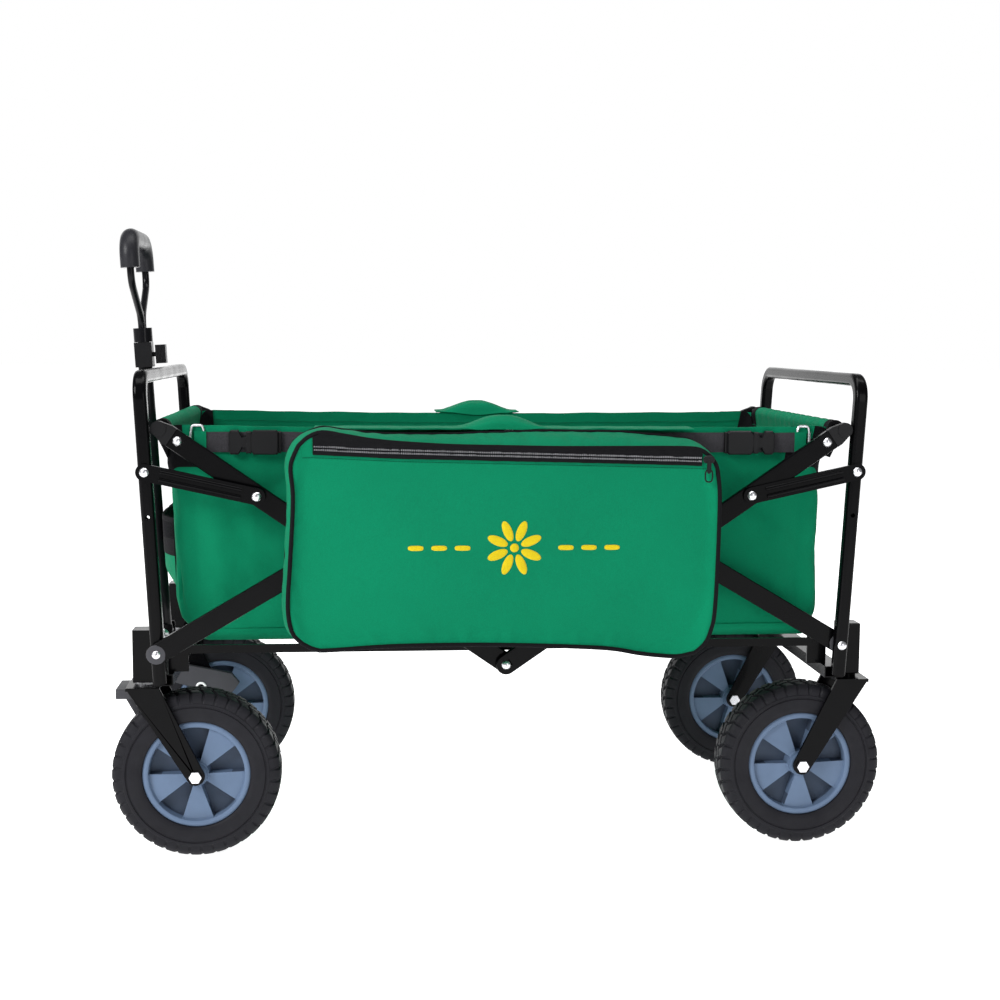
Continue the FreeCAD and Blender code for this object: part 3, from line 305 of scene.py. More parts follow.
def slab(outline, low, high, bevel=0.6):
    """(points, faces) of a plate with rounded rims; outline is (x, z), low and high outwards, all in mm."""
    outline = np.array(outline, float)
    middle = outline.mean(0)
    layers = []
    for share, inset in ((0, bevel), (0.0, 0.0), (1.0, 0.0), (1.0, bevel)):
        level = low + (high - low) * share + (0 if inset else (bevel if share == 0 else -bevel))
        direction = middle - outline
        length = np.linalg.norm(direction, axis=1, keepdims=True)
        layers.append((outline + direction / length * inset, level))
    points = [at(x, -level, z) for ring, level in layers for x, z in ring]
    n = len(outline)
    faces = grid_faces(4, n, False, True)
    faces += [tuple(range(n))[::-1], tuple(3 * n + k for k in range(n))]
    return points, faces


def smooth_step(x, low, high):
    t = np.clip((np.asarray(x, float) - low) / (high - low), 0, 1)
    return t * t * (3 - 2 * t)


def hill(x, middle, width):
    return np.exp(-((np.asarray(x, float) - middle) / width) ** 2)


def waves(x, y, scale, seed=0.0):
    """Soft noise between about -1 and 1 at places in mm."""
    x, y = np.broadcast_arrays(np.asarray(x, float), np.asarray(y, float))
    flat = [noise.noise(Vector((a / scale, b / scale, seed))) for a, b in zip(x.ravel(), y.ravel())]
    return np.array(flat).reshape(x.shape)


def crisp(node, material, width=0.7, segments=2):
    """A carried-over CAD node: its material and, where width is given, a small real bevel."""
    piece = NODES[node]
    piece.data.materials.clear()
    piece.data.materials.append(material)
    if not width:
        return
    weld = piece.modifiers.new("weld", "WELD")
    weld.merge_threshold = 0.00001
    bevel = piece.modifiers.new("bevel", "BEVEL")
    bevel.width, bevel.segments = width * MM, segments
    bevel.limit_method, bevel.angle_limit = "ANGLE", math.radians(38)
    weighted = piece.modifiers.new("normals", "WEIGHTED_NORMAL")
    weighted.keep_sharp = True


# ---- carried-over steel and plastic ---------------------------------------------

for end in ("rear", "front"):
    for node, width in (("hoop", 1.2), ("base_bar", 1.5), ("posts", 1.2), ("short_links", 0.8),
                        ("floor_rails", 0.8), ("rim_bar", 0.5), ("lower_arms", 1.1), ("upper_arms", 1.1)):
        crisp(f"{end}_{node}", BLACK, width)
    crisp(f"{end}_frame_pins", STEEL, 0)
    crisp(f"{end}_corner_caps", PLASTIC, 1.1, 3)
    for side in ("near", "far"):
        crisp(f"{end}_{side}_fork", BLACK, 1.6, 3)
        crisp(f"{end}_{side}_axle", STEEL, 0)
for node in ("rear_arm_rivets", "front_cap_rivets", "centre_rivets", "bottom_centre_screws", "handle_pin",
             "kingpin_near", "kingpin_far"):
    crisp(node, STEEL, 0)
for node in ("handle_bracket", "handle_clip"):
    crisp(node, BLACK, 0.7)
for node in ("handle_tube", "handle_inner_tube", "handle_yoke"):
    crisp(node, TUBE, 0.6)
for node in ("brake_lever_near", "brake_lever_far"):
    crisp(node, GREY_PLASTIC, 1.6, 3)
crisp("handle_grip", GRIP, 0)
crisp("handle_collar", PLASTIC, 1.2, 3)
crisp("handle_button", PLASTIC, 1.2, 3)


def dome(x, out, z, radius, height, rings=7, sides=28):
    """(points, faces) of a rivet head standing outwards on one side; out is signed, in mm."""
    side = math.copysign(1, out)
    points = [at(x, out + side * height, z)]
    faces = []
    for r in range(1, rings + 1):
        a = r / rings * math.pi / 2
        points += [at(x + radius * math.sin(a) * c, out + side * height * math.cos(a),
                      z + radius * math.sin(a) * s)
                   for c, s in circle(1.0, sides)]
    for k in range(sides):
        n = (k + 1) % sides
        faces.append((0, 1 + n, 1 + k))
        faces += [(1 + r * sides + k, 1 + r * sides + n, 1 + (r + 1) * sides + n, 1 + (r + 1) * sides + k)
                  for r in range(rings - 1)]
    return points, faces if side > 0 else [f[::-1] for f in faces]


LINK_ARM = (295.1, 442.4)
LEG_PIVOT, CROSSING, TOP_CENTRE = (413.09, 257.0), (205.0, 380.0), (0.0, 522.0)
LOW_CENTRE, ARM_TIP = (0.0, 238.0), (388.0, 506.8)


def arm_faces(sign, face, ends):
    """Outer faces of a pair of arms between two pivots, near and far, face mm from the middle plane."""
    start, stop = (np.array((sign * x, z)) for x, z in ends)
    along = (stop - start) / np.linalg.norm(stop - start)
    square = np.array((-along[1], along[0])) * 9.6
    first, last = start + along * 6.5, stop - along * 8
    plate = np.array([first - square, last - square, last + square, first + square])
    clockwise = np.cross(last - first, square) > 0
    near = slab(plate if clockwise else plate[::-1], face - 0.4, face + 0.4, 0.3)
    far = ([Vector((p.x, 2 * MID_Y - p.y, p.z)) for p in near[0]], [f[::-1] for f in near[1]])
    return [near, far]


for end, sign, arm_face, upper_face in (("rear", 1, 208.0, 225.0), ("front", -1, 234.0, 216.5)):
    heads = [dome(sign * LINK_ARM[0], out, LINK_ARM[1], 5.9, 4.0) for out in (-229.1, 229.1)]
    build(f"{end}_link_rivets", *merge(heads), STEEL, f"{end}_links", "rivet_steel")
    lower = (arm_faces(sign, arm_face, (LEG_PIVOT, CROSSING))
             + arm_faces(sign, arm_face, (CROSSING, TOP_CENTRE)))
    build(f"{end}_lower_arm_faces", *merge(lower), BLACK, f"{end}_lower_arms", "steel_black")
    upper = (arm_faces(sign, upper_face, (LOW_CENTRE, CROSSING))
             + arm_faces(sign, upper_face, (CROSSING, ARM_TIP)))
    build(f"{end}_upper_arm_faces", *merge(upper), BLACK, f"{end}_upper_arms", "steel_black")
    plugs = [dome(sign * LEG_PIVOT[0], side * (arm_face - 0.2), LEG_PIVOT[1], 11.6, 1.5) for side in (-1, 1)]
    build(f"{end}_arm_plugs", *merge(plugs), GREY_PLASTIC, f"{end}_lower_arms", "black_plastic")


BRAKE_EYE = (-401.0, 133.0)
for side in ("near", "far"):
    inner = (137.6 if side == "far" else -137.6)
    eye = [at(BRAKE_EYE[0] + 6 * c, inner - math.copysign(0.6, inner), BRAKE_EYE[1] + 6 * s)
           for c, s in circle(1.0, 28)]
    build(f"brake_{side}_eyelet", *sweep(eye, circle(1.7 * MM, 10), True, Vector((0, 1, 0))), PALE,
          f"brake_{side}", "black_plastic")

button_low, button_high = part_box("handle_button")
ribs = []
RIB_START, RIB_PITCH, RIB_LEAN = 0.0062, 0.0019, 0.0006
for k in range(6):
    rib_x = button_low.x + RIB_START + RIB_PITCH * k
    for rib_y in (button_low.y, button_high.y):
        foot = (rib_x + RIB_LEAN, rib_y, button_low.z + 0.003)
        top = (rib_x - RIB_LEAN, rib_y, button_high.z - 0.003)
        ribs.append(sweep([foot, top], circle(0.75 * MM, 8)))
build("button_ribs", *merge(ribs), PLASTIC, "release_button", "black_plastic")

# ---- wheels --------------------------------------------------------------------

WHEEL_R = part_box("rear_near_tyre")[1].z / 2 / MM
TREAD_PERIOD = math.radians(9)


def saw(angle, width, shift=0.0):
    """1 inside a groove that repeats every tread period; width in degrees."""
    phase = np.mod(angle / TREAD_PERIOD + shift, 1.0)
    gap = np.minimum(phase, 1 - phase) * 9
    return 1 - smooth_step(gap, width * 0.35, width * 0.65)


def tyre_shape():
    """(points about the axle in mm, faces): beads, sidewall groove, shoulder notches and tread."""
    rim = [(64.6, 18.0), (65.4, 20.6), (67.5, 22.0), (72, 22.5), (79, 22.6), (82.6, 22.5), (83.2, 21.5),
           (84.3, 21.5),
           (84.9, 22.6), (87.5, 22.5), (88.3, 21.9), (90.5, 21.8), (93, 21.6), (95.5, 21.0), (97.3, 20.0),
           (98.8, 18.8), (100, 17.6)]
    tread_y = np.linspace(16.4, -16.4, 43)
    section = rim + [(WHEEL_R - 0.0028 * y * y, y) for y in tread_y] + [(r, -y) for r, y in reversed(rim)]
    radius, y = np.array(section).T
    angle = np.arange(720)[:, None] * TAU / 720
    zig = np.abs(np.mod(angle / TREAD_PERIOD, 1.0) - 0.5) * 4 - 1
    depth = np.zeros((720, len(radius)))
    on_tread = np.abs(y) <= 17
    for sign in (1, -1):
        groove = 1 - smooth_step(np.abs(y - sign * (5.2 + 2.4 * zig * sign)), 0.8, 1.6)
        depth = np.maximum(depth, 3.0 * groove * on_tread)
        slanted = saw(angle + np.abs(y) * 0.006, 2.2, 0.5 if sign > 0 else 0.0)
        depth = np.maximum(depth, 2.8 * slanted * smooth_step(sign * y, 7, 9) * on_tread)
    sipe = saw(angle, 1.2, 0.25) * (1 - smooth_step(np.abs(y), 2, 3.4))
    depth = np.maximum(depth, 1.8 * sipe)
    notch = (saw(angle + 0.1, 1.5, np.where(y > 0, 0.5, 0.0))
             * smooth_step(radius, 88.4, 90) * (np.abs(y) > 16.4))
    radial = radius - depth - notch * 1.4 * smooth_step(radius, 92, 99)
    out = y - np.sign(y) * notch * 1.3
    x, z = radial * np.cos(angle), radial * np.sin(angle)
    points = np.stack([x, np.broadcast_to(out, x.shape), z], 2).reshape(-1, 3)
    return points, grid_faces(720, len(radius), True, True)


def hub_shape():
    """(points about the axle in mm, faces): lip ring, five fan spokes, deep pockets and the barrel."""
    half = math.radians(19)
    turns = []
    for k in range(5):
        middle = math.radians(55 + 72 * k)
        for edge in (-half, half):
            turns += [middle + edge + math.radians(d) for d in (-1.6, -0.9, -0.3, 0.3, 0.9, 1.6)]
        turns += list(middle + np.linspace(-half + 0.06, half - 0.06, 9))
        turns += list(middle + math.radians(36) + np.linspace(-half + 0.08, half - 0.08, 7))
    turns = np.sort(np.mod(turns, TAU))
    radii = np.array([4.1, 11.6, 12.4, 12.9, 13.1, 13.6, 14.6, 16, 22, 32, 42, 50, 55.4, 56.2, 56.9, 57.4,
                      58.0, 59.0,
                      60.5, 62.2, 63.6, 64.6, 65.0, 65.2])
    spoke_turn, half_pitch = math.radians(55), math.radians(36)
    offset = np.abs(np.mod(turns[:, None] - spoke_turn + half_pitch, math.radians(72)) - half_pitch)
    spoke = 1 - smooth_step(np.degrees(offset), 18.75, 19.25)
    plateau = 15.6 - 1.6 * smooth_step(radii, 20, 56)
    floor = 1.6 + 1.2 * smooth_step(radii, 20, 54)
    height = floor + (plateau - floor) * spoke
    lip = 17.2 + 2.1 * np.sin(np.clip((radii - 57.0) / 8.2, 0, 1) * math.pi) ** 0.6
    height = height + (lip - height) * smooth_step(radii, 56.2, 58.0)
    barrel = np.where(radii < 12.5, 24.6, 24.6 - (radii - 12.4) * 3)
    height = np.where(radii < 13.3, barrel, height)
    height = np.where((radii >= 13.3) & (radii < 15.5), np.maximum(height, 17.5), height)
    height = np.where(radii > 65.1, 14.0, height)
    rings = []
    for sign in (1, -1):
        x, z = radii * np.cos(turns[:, None]), radii * np.sin(turns[:, None])
        face = np.stack([x, sign * height, z], 2)
        rings.append(face if sign > 0 else face[:, ::-1])
    whole = np.concatenate(rings, 1)
    return whole.reshape(-1, 3), grid_faces(len(turns), whole.shape[1], True, True)


TYRE, HUB_SHAPE = tyre_shape(), hub_shape()
for end in ("rear", "front"):
    for side in ("near", "far"):
        axle = centre(f"{end}_{side}_tyre")
        axle.z = WHEEL_R * MM
        turned = (1, -1)[side == "far"]
        for label, (points, faces), material, slot in (("tyre", TYRE, RUBBER, "tyre_rubber"),
                                                       ("hub", HUB_SHAPE, HUB, "hub_plastic")):
            placed = points * MM * (1, turned, 1) + np.array(axle)
            ordered = faces if turned > 0 else [f[::-1] for f in faces]
            piece = build(f"{end}_{side}_{label}_shape", placed, ordered, material, f"{end}_wheel_{side}",
                          slot,
                          (f"{end}_{side}_{label}",), 32)
            # Faces low in the hub, the pocket floors and their walls, take the darker hub plastic: painted
            # shade.
            if label == "hub":
                piece.data.materials.append(HUB_POCKET_SHADE)
                for face in piece.data.polygons:
                    face.material_index = int(abs(face.center.y - axle.y) < 0.0085)


# ---- cloth helpers ---------------------------------------------------------------

TUB_BODY, TUB_FRONT = "tub_fabric", "tub_front"


def thick(grid, thickness, wrap=False):
    """(points, faces) of a cloth grid (rows, columns, 3) in metres with a second layer inside it."""
    rows, columns = grid.shape[:2]
    if wrap:
        around = (np.roll(grid, -1, 1) - np.roll(grid, 1, 1))
    else:
        around = np.gradient(grid, axis=1)
    normal = np.cross(around, np.gradient(grid, axis=0))
    normal /= np.linalg.norm(normal, axis=2, keepdims=True) + 1e-12
    inner = grid - normal * thickness * MM
    points = np.concatenate([grid.reshape(-1, 3), inner.reshape(-1, 3)])
    faces = [f[::-1] for f in grid_faces(rows, columns, False, wrap)]
    start = rows * columns
    faces += grid_faces(rows, columns, False, wrap, start)
    last = (rows - 1) * columns
    for j in range(columns if wrap else columns - 1):
        k = (j + 1) % columns
        faces += [(j, k, start + k, start + j), (last + k, last + j, start + last + j, start + last + k)]
    if not wrap:
        for i in range(rows - 1):
            a, b = i * columns, (i + 1) * columns
            c, d = a + columns - 1, b + columns - 1
            faces += [(b, a, start + a, start + b), (c, d, start + d, start + c)]
    return points, faces


def cloth_piece(name, shape, material, slot, body=TUB_BODY, hides=(), sharp=60):
    """A sewn piece riding on a body; those on the tub's rear body, and the front pocket's pieces, get a mesh of
    their own.
    """
    piece = build(name, *shape, material, body, slot, hides, sharp)
    if "sleeve" in name:
        return piece
    if body == TUB_BODY:
        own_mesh(piece)
    elif name.startswith("pocket"):
        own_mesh(piece)
    return piece


def stitches(line, radius=0.42, pitch=3.2, gap=0.3):
    """Thread along a line of points in metres, dipping under the cloth between stitches."""
    line = np.array([tuple(p) for p in line])
    run = np.concatenate([[0], np.cumsum(np.linalg.norm(np.diff(line, axis=0), axis=1))])
    steps = max(int(run[-1] / (pitch * MM)), 2) * 4
    wanted = np.linspace(0, run[-1], steps + 1)
    path = np.stack([np.interp(wanted, run, line[:, k]) for k in range(3)], 1)
    size = np.where(np.arange(steps + 1) % 4 == 0, gap, 1.0)
    return sweep(path, circle(radius * MM, 5), scale=size)


# ---- tub -------------------------------------------------------------------------

HALF_WIDTH = 186
CORNER = 13
REAR_Z, REAR_X = (262, 269, 290, 477, 505, 530), (377, 381, 388, 391, 397, 402)
FRONT_Z, FRONT_X = (262, 270, 292, 316, 460, 477, 505, 530), (358, 367, 386, 393, 398, 402, 402, 404)
FLOOR_Z, SIDE_TOP, END_TOP = 266, 523, 506


def tub_columns():
    """Around the tub from the near front corner: (x sign and share, y sign and share, outward normal)."""
    long_side, short_side = np.linspace(-1, 1, 132), np.linspace(-1, 1, 62)
    quarter = np.linspace(0, math.pi / 2, 9)[1:-1]
    columns = [(u, -1, 0, -1) for u in long_side]
    columns += [(1, -1, math.sin(q), -math.cos(q)) for q in quarter]
    columns += [(1, v, 1, 0) for v in short_side]
    columns += [(1, 1, math.cos(q), math.sin(q)) for q in quarter]
    columns += [(-u, 1, 0, 1) for u in long_side]
    columns += [(-1, 1, -math.sin(q), math.cos(q)) for q in quarter]
    columns += [(-1, -v, -1, 0) for v in short_side]
    columns += [(-1, -1, -math.cos(q), -math.sin(q)) for q in quarter]
    return np.array(columns)


COLUMNS = tub_columns()


def tub_sheet(levels, out=0.0, columns=COLUMNS):
    """Grid of points on the tub's wall; levels are z values per column, or one list for all."""
    u, v, nx, ny = columns.T
    z = np.asarray(levels, float)
    z = np.repeat(z[:, None], len(u), 1) if z.ndim == 1 else z
    rear, front = np.interp(z, REAR_Z, REAR_X), np.interp(z, FRONT_Z, FRONT_X)
    half = np.where(u > 0, rear, front)
    tuck = 6 * (1 - smooth_step(z, 262, 276))
    width = HALF_WIDTH - tuck
    x = u * (half - CORNER) + nx * CORNER
    y = v * (width - CORNER) + ny * CORNER
    quiet = 0.22 + 0.78 * (1 - smooth_step(z, 455, 492)) * smooth_step(z, 264, 300)
    along = np.where(np.abs(ny) > 0.7, x, y)
    seed = np.where(np.abs(ny) > 0.7, 3.0 + ny, 9.0 + nx)
    push = np.zeros_like(z)
    for value in np.unique(np.round(seed, 3)):
        chosen = np.abs(seed - value) < 0.001
        chosen = np.broadcast_to(chosen, z.shape)
        a, b = np.broadcast_to(along, z.shape)[chosen], z[chosen]
        push[chosen] = (3.6 * waves(a, b * 0.35, 62, value) + 2.2 * waves(a + b * 0.5, b * 0.4, 27, value)
                        + 0.8 * waves(a, b * 0.6, 11, value))
    seam = np.exp(-(((half - np.abs(x)) - 26) / 2.2) ** 2) * (np.abs(ny) > 0.95)
    bulge = np.exp(-(((half - np.abs(x)) - 52) / 16) ** 2) * (np.abs(ny) > 0.95)
    valley = hill(x - (z - 430) * 1.3, -300, 15) + hill(x + (z - 430) * 1.3, 300, 15)
    crease = (bulge * 3.2 - seam * 1.6 - valley * 3.0 * (np.abs(ny) > 0.95) * smooth_step(z, 380,
            430)) * quiet
    corner_fold = (np.abs(np.abs(nx) - 0.7) < 0.25) * 1.6 * np.sin(z / 17 + u * 2) * quiet
    total = out + push * quiet + crease + corner_fold
    x = x + nx * total
    y = y + ny * total
    return np.stack([x * MM, MID_Y + y * MM, z * MM], 2)


def tub_levels(top_side, top_end, bottom, rows):
    """z for each row and column between the tub's rim and a lower line."""
    u, v, nx, ny = COLUMNS.T
    top = np.where(np.abs(ny) > 0.7, top_side, top_end) * 1.0
    side = np.abs(ny) > 0.99
    top = top + np.where(side, -3.5 * np.cos(np.clip(u, -1, 1) * math.pi / 2) + 1.2 * waves(u * 390, v, 45,
            2.0), 0)
    near = side & (v < 0)
    top = top + np.where(near, 5.0 * hill(u * 390, -20, 60), 0)
    share = np.linspace(0, 1, rows)[:, None] ** 1.05
    return top[None, :] + (bottom - top[None, :]) * share


cloth_piece("tub_walls", thick(tub_sheet(tub_levels(SIDE_TOP, END_TOP, FLOOR_Z, 58)), 1.8, True), GREEN,
            "fabric_green", hides=("tub",))
bottom_hem = tub_sheet(np.linspace(279, FLOOR_Z - 0.8, 6), 0.9)
cloth_piece("tub_bottom_hem", thick(bottom_hem, 2.0, True), GREEN, "fabric_green")
cloth_piece("tub_bottom_stitch", stitches(tub_sheet([277.0, 276.9], 1.15)[0]), GREEN_DARK, "fabric_green")

for side, sign in (("near", -1), ("far", 1)):
    wanted = (np.abs(COLUMNS[:, 3] - sign) < 0.01) & (np.abs(COLUMNS[:, 0]) < 0.985)
    strip = COLUMNS[wanted]
    top = tub_levels(SIDE_TOP, END_TOP, FLOOR_Z, 2)[0][wanted]
    hem = tub_sheet(top[None, :] + np.linspace(1.2, -15, 8)[:, None], 0.5, strip)
    cloth_piece(f"tub_{side}_hem", thick(hem, 2.9), GREEN, "fabric_green")
    for outer, offset in (("outer", 0.7), ("inner", -2.7)):
        line = tub_sheet(top[None, :] + np.array([[-12.5], [-12.6]]), offset, strip)[0]
        cloth_piece(f"tub_{side}_hem_{outer}_stitch", stitches(line), GREEN_DARK, "fabric_green")

floor_x, floor_y = np.linspace(-367, 381.4, 90), np.linspace(-184, 184, 46)
gx, gy = np.meshgrid(floor_x, floor_y)
floor_z = 270.5 + 1.1 * waves(gx, gy, 60, 4.0) + 0.5 * waves(gx, gy, 19, 4.5)
for line_x in (-182.0, 10.0, 202.0):
    floor_z -= 1.3 * hill(gx, line_x, 3.0)
floor_grid = np.stack([gx * MM, MID_Y + gy * MM, floor_z * MM], 2)
cloth_piece("tub_floor_cloth", thick(floor_grid, 2.2), GREEN, "fabric_green")

BAR_X, BAR_Z = 408.87, 521.2


def sleeve(sign, y_low, y_high, radius, gathers, rows=150, tail=26.0):
    """Cloth wrapped round an end rim bar and sewn to the end wall below it."""
    turn = np.linspace(0, TAU, 30, endpoint=False)
    grid = []
    for y in np.linspace(y_low, y_high, rows):
        ripple = 1 + gathers * (0.55 * math.sin(y / 4.3 + 2.2 * math.sin(y / 31)) + 0.7 * noise.noise(Vector((y / 9, sign, 1))))
        ring = []
        for a in turn:
            c, s = math.cos(a), math.sin(a)
            drop = max(0.0, -s) ** 3
            x = BAR_X + (c * radius * ripple) * (1 - 0.72 * drop) - 6.5 * drop
            z = BAR_Z + s * radius * ripple - drop * tail
            ring.append(tuple(at(sign * x, y, z)))
        grid.append(ring)
    grid = np.array(grid)
    points = grid.reshape(-1, 3)
    faces = grid_faces(rows, len(turn), False, True)
    faces += [tuple(range(len(turn)))[::-1], tuple((rows - 1) * len(turn) + k for k in range(len(turn)))]
    return points, faces


for end, sign, body in (("rear", 1, TUB_BODY), ("front", -1, TUB_FRONT)):
    cloth_piece(f"tub_{end}_sleeve", sleeve(sign, -171, 171, 9.6, 0.1), GREEN, "fabric_green", body)
    for side, direction in (("near", -1), ("far", 1)):
        low_y, high_y = sorted((direction * 168, direction * 186.5))
        cloth_piece(f"tub_{end}_{side}_sleeve_binding", sleeve(sign, low_y, high_y, 10.1, 0.03, 16), BINDING,
                    "webbing_black", body)

u, v, nx, ny = COLUMNS.T
for end, sign in (("rear", 1), ("front", -1)):
    for side, direction in (("near", -1), ("far", 1)):
        at_corner = (u * sign > 0.9) & (v * direction > 0.84) & ((np.abs(v) < 1.01))
        order = np.where(at_corner)[0]
        if np.any(np.diff(order) > 1):
            cut = np.argmax(np.diff(order)) + 1
            order = np.concatenate([order[cut:], order[:cut]])
        rows = np.linspace(0, 1, 16)[:, None]
        tops = np.interp(np.abs(ny[order]), (0, 1), (END_TOP, SIDE_TOP + 1.0))
        lows = np.interp(np.abs(ny[order]), (0, 1), (452, 474))
        for layer, out in (("outer", 1.3), ("inner", -2.2)):
            kept = np.abs(u[order]) > (0.9 if layer == "outer" else 0.976)
            order, tops, lows = order[kept], tops[kept], lows[kept]
            patch = tub_sheet(tops + (lows - tops) * rows, out, COLUMNS[order])
            cloth_piece(f"tub_{end}_{side}_{layer}_patch", thick(patch, 1.0), BINDING, "webbing_black")



def crossing_cover(side, left, right, stations):
    """Cloth from the side hem over the top of the crossing arms; stations are (distance out, z) in mm."""
    out, drop = np.array(stations, float).T
    run = np.linspace(0, 1, 22)
    out, drop = np.interp(run, np.linspace(0, 1, len(out)), out), np.interp(run,
            np.linspace(0, 1, len(drop)), drop)
    xs = np.linspace(left, right, 70)
    xx, oo = np.meshgrid(xs, out)
    rise = 1 - smooth_step(np.abs(xx + 6), 6, 58)
    ends = np.clip(np.minimum(xs - left, right - xs) / 18, 0, 1)[None, :]
    zz = 522.0 + (drop[:, None] - 522.0) * np.maximum(rise, 0.35 * (drop[:, None] < 522)) * np.maximum(ends,
            0.1)
    zz = zz + 0.9 * waves(xx, oo, 24, 11.0)
    grid = np.stack([xx * MM, MID_Y + side * oo * MM, zz * MM], 2)
    return thick(grid if side > 0 else grid[:, ::-1], -1.6)


cloth_piece("tub_far_cover", crossing_cover(1, -66, 54, ((185, 518), (190, 533), (205, 536), (228, 536),
                                                         (236.5, 532), (237.5, 512), (237.5, 500))), GREEN,
            "fabric_green")
cloth_piece("tub_near_cover", crossing_cover(-1, -228, 222, ((185, 518), (190, 534), (205, 536.5), (228, 536),
                                                            (238, 530), (240, 522))), GREEN, "fabric_green")

# ---- front pocket ----------------------------------------------------------------


def pocket_sheet(low, high, rows, out=0.0, columns=61):
    yy, zz = np.meshgrid(np.linspace(-150, 150, columns), np.linspace(high, low, rows))
    wall = np.interp(zz, FRONT_Z, FRONT_X)
    bulge = (1 - np.abs(yy / 150) ** 5) * smooth_step(zz, 300, 345) * 25
    ripple = 1.4 * waves(yy, zz * 0.4, 30, 7.0) * (1 - np.abs(yy / 150) ** 4)
    x = -(wall + 1.5 + bulge + ripple + out)
    return np.stack([x * MM, MID_Y + yy * MM, zz * MM], 2)


cloth_piece("pocket_panel", thick(pocket_sheet(315, 364, 12), 1.6), GREEN, "fabric_green", TUB_FRONT,
            ("front_pocket",))
cloth_piece("pocket_binding", thick(pocket_sheet(361, 382, 8, 0.9), 2.6), BINDING, "webbing_black", TUB_FRONT)
cloth_piece("pocket_top_binding", thick(pocket_sheet(402, 408, 4, 0.9), 3.0), BINDING, "webbing_black",
            TUB_FRONT)
net = pocket_sheet(380, 405, 13, 0.2, 151)
net_points = net.reshape(-1, 3)
net_faces = []
for i in range(1, 12):
    for j in range(1 + i % 2, 150, 2):
        net_faces.append(((i - 1) * 151 + j, i * 151 + j - 1, (i + 1) * 151 + j, i * 151 + j + 1))
netting = cloth_piece("pocket_netting", (net_points, net_faces), MESH, "webbing_black", TUB_FRONT)
wires = netting.modifiers.new("strands", "WIREFRAME")
wires.thickness, wires.use_replace = 0.0009, True
for side, sign in (("near", -1), ("far", 1)):
    rows = np.linspace(408, 315, 24)
    yy = sign * np.linspace(146, 153, 4)
    zz, gy = np.meshgrid(rows, yy, indexing="ij")
    x = -(np.interp(zz, FRONT_Z, FRONT_X) + 2.6)
    edge_strip = np.stack([x * MM, MID_Y + gy * MM, zz * MM], 2)
    cloth_piece(f"pocket_{side}_edge", thick(edge_strip if sign < 0 else edge_strip[:, ::-1], 2.4), BINDING,
                "webbing_black", TUB_FRONT)

# ---- side bag --------------------------------------------------------------------

BAG_FRONT_Y, BAG_BACK_Y = -284.0, -240.0
LEFT_EDGE = [(-244, 506), (-250.5, 492), (-253, 478.7), (-250.5, 444.5), (-254, 376), (-257, 330),
             (-256, 306),
             (-251, 289), (-240, 278)]
BOTTOM_EDGE = [(-240, 278), (-226, 271.5), (-209, 270.5), (-129, 274.8), (-13, 274.7), (104, 269.9),
               (150, 263),
               (175, 260), (196, 259), (216, 263)]
RIGHT_EDGE = [(231, 493.5), (237.5, 484), (240.5, 470), (242.6, 443), (241.8, 373), (239.6, 313.6),
              (236, 292),
              (229, 275), (216, 263)]
TOP_EDGE = [(-244, 506), (-233, 516), (-217.2, 521.5), (-191.3, 517.6), (-163, 512.8), (-129, 509.4),
            (-72, 506.1),
            (-15, 504.9), (54, 503.8), (124, 503.9), (194, 503.9), (217.8, 502), (231, 493.5)]
ACROSS, DOWN = 92, 48


def coons(top, bottom, left, right):
    """A grid filled between four edges of points."""
    s = np.linspace(0, 1, len(top))[None, :, None]
    t = np.linspace(0, 1, len(left))[:, None, None]
    ruled = (1 - t) * top[None] + t * bottom[None] + (1 - s) * left[:, None] + s * right[:, None]
    corners = ((1 - s) * (1 - t) * top[0] + s * (1 - t) * top[-1] + (1 - s) * t * bottom[0] + s * t * bottom[-1])
    return ruled - corners


bag_edges = [spline(TOP_EDGE, ACROSS), spline(BOTTOM_EDGE, ACROSS), spline(LEFT_EDGE, DOWN),
             spline(RIGHT_EDGE, DOWN)]
front_xz = coons(*bag_edges)
ring = np.concatenate([front_xz[0], front_xz[1:, -1], front_xz[-1, -2::-1], front_xz[-2:0:-1, 0]])
RING = len(ring)
bag_middle = np.array((-6.0, 390.0))


def back_outline(points):
    """The rear seam: a little wider at the front end and higher along the top."""
    moved = np.array(points, float)
    rise = smooth_step(moved[:, 1], 440, 505)
    moved[:, 0] = np.where(moved[:, 0] < -225, moved[:, 0] - 7 * smooth_step(-moved[:, 0], 225, 250),
                           moved[:, 0])
    moved[:, 1] += rise * np.interp(moved[:, 0], (-240, -200, -35, 47, 130, 214, 240),
                                    (3, 3, 13, 17, 16, 8, 2))
    moved[:, 1] += (1 - smooth_step(moved[:, 1], 268, 300)) * 2.5
    return moved


back_ring = back_outline(ring)


def edge_cells():
    """Row and column of each point round the edge of the bag's grid, in the order of ring."""
    cells = [(0, j) for j in range(ACROSS)] + [(i, ACROSS - 1) for i in range(1, DOWN)]
    cells += [(DOWN - 1, j) for j in range(ACROSS - 2, -1, -1)]
    return cells + [(i, 0) for i in range(DOWN - 2, 0, -1)]


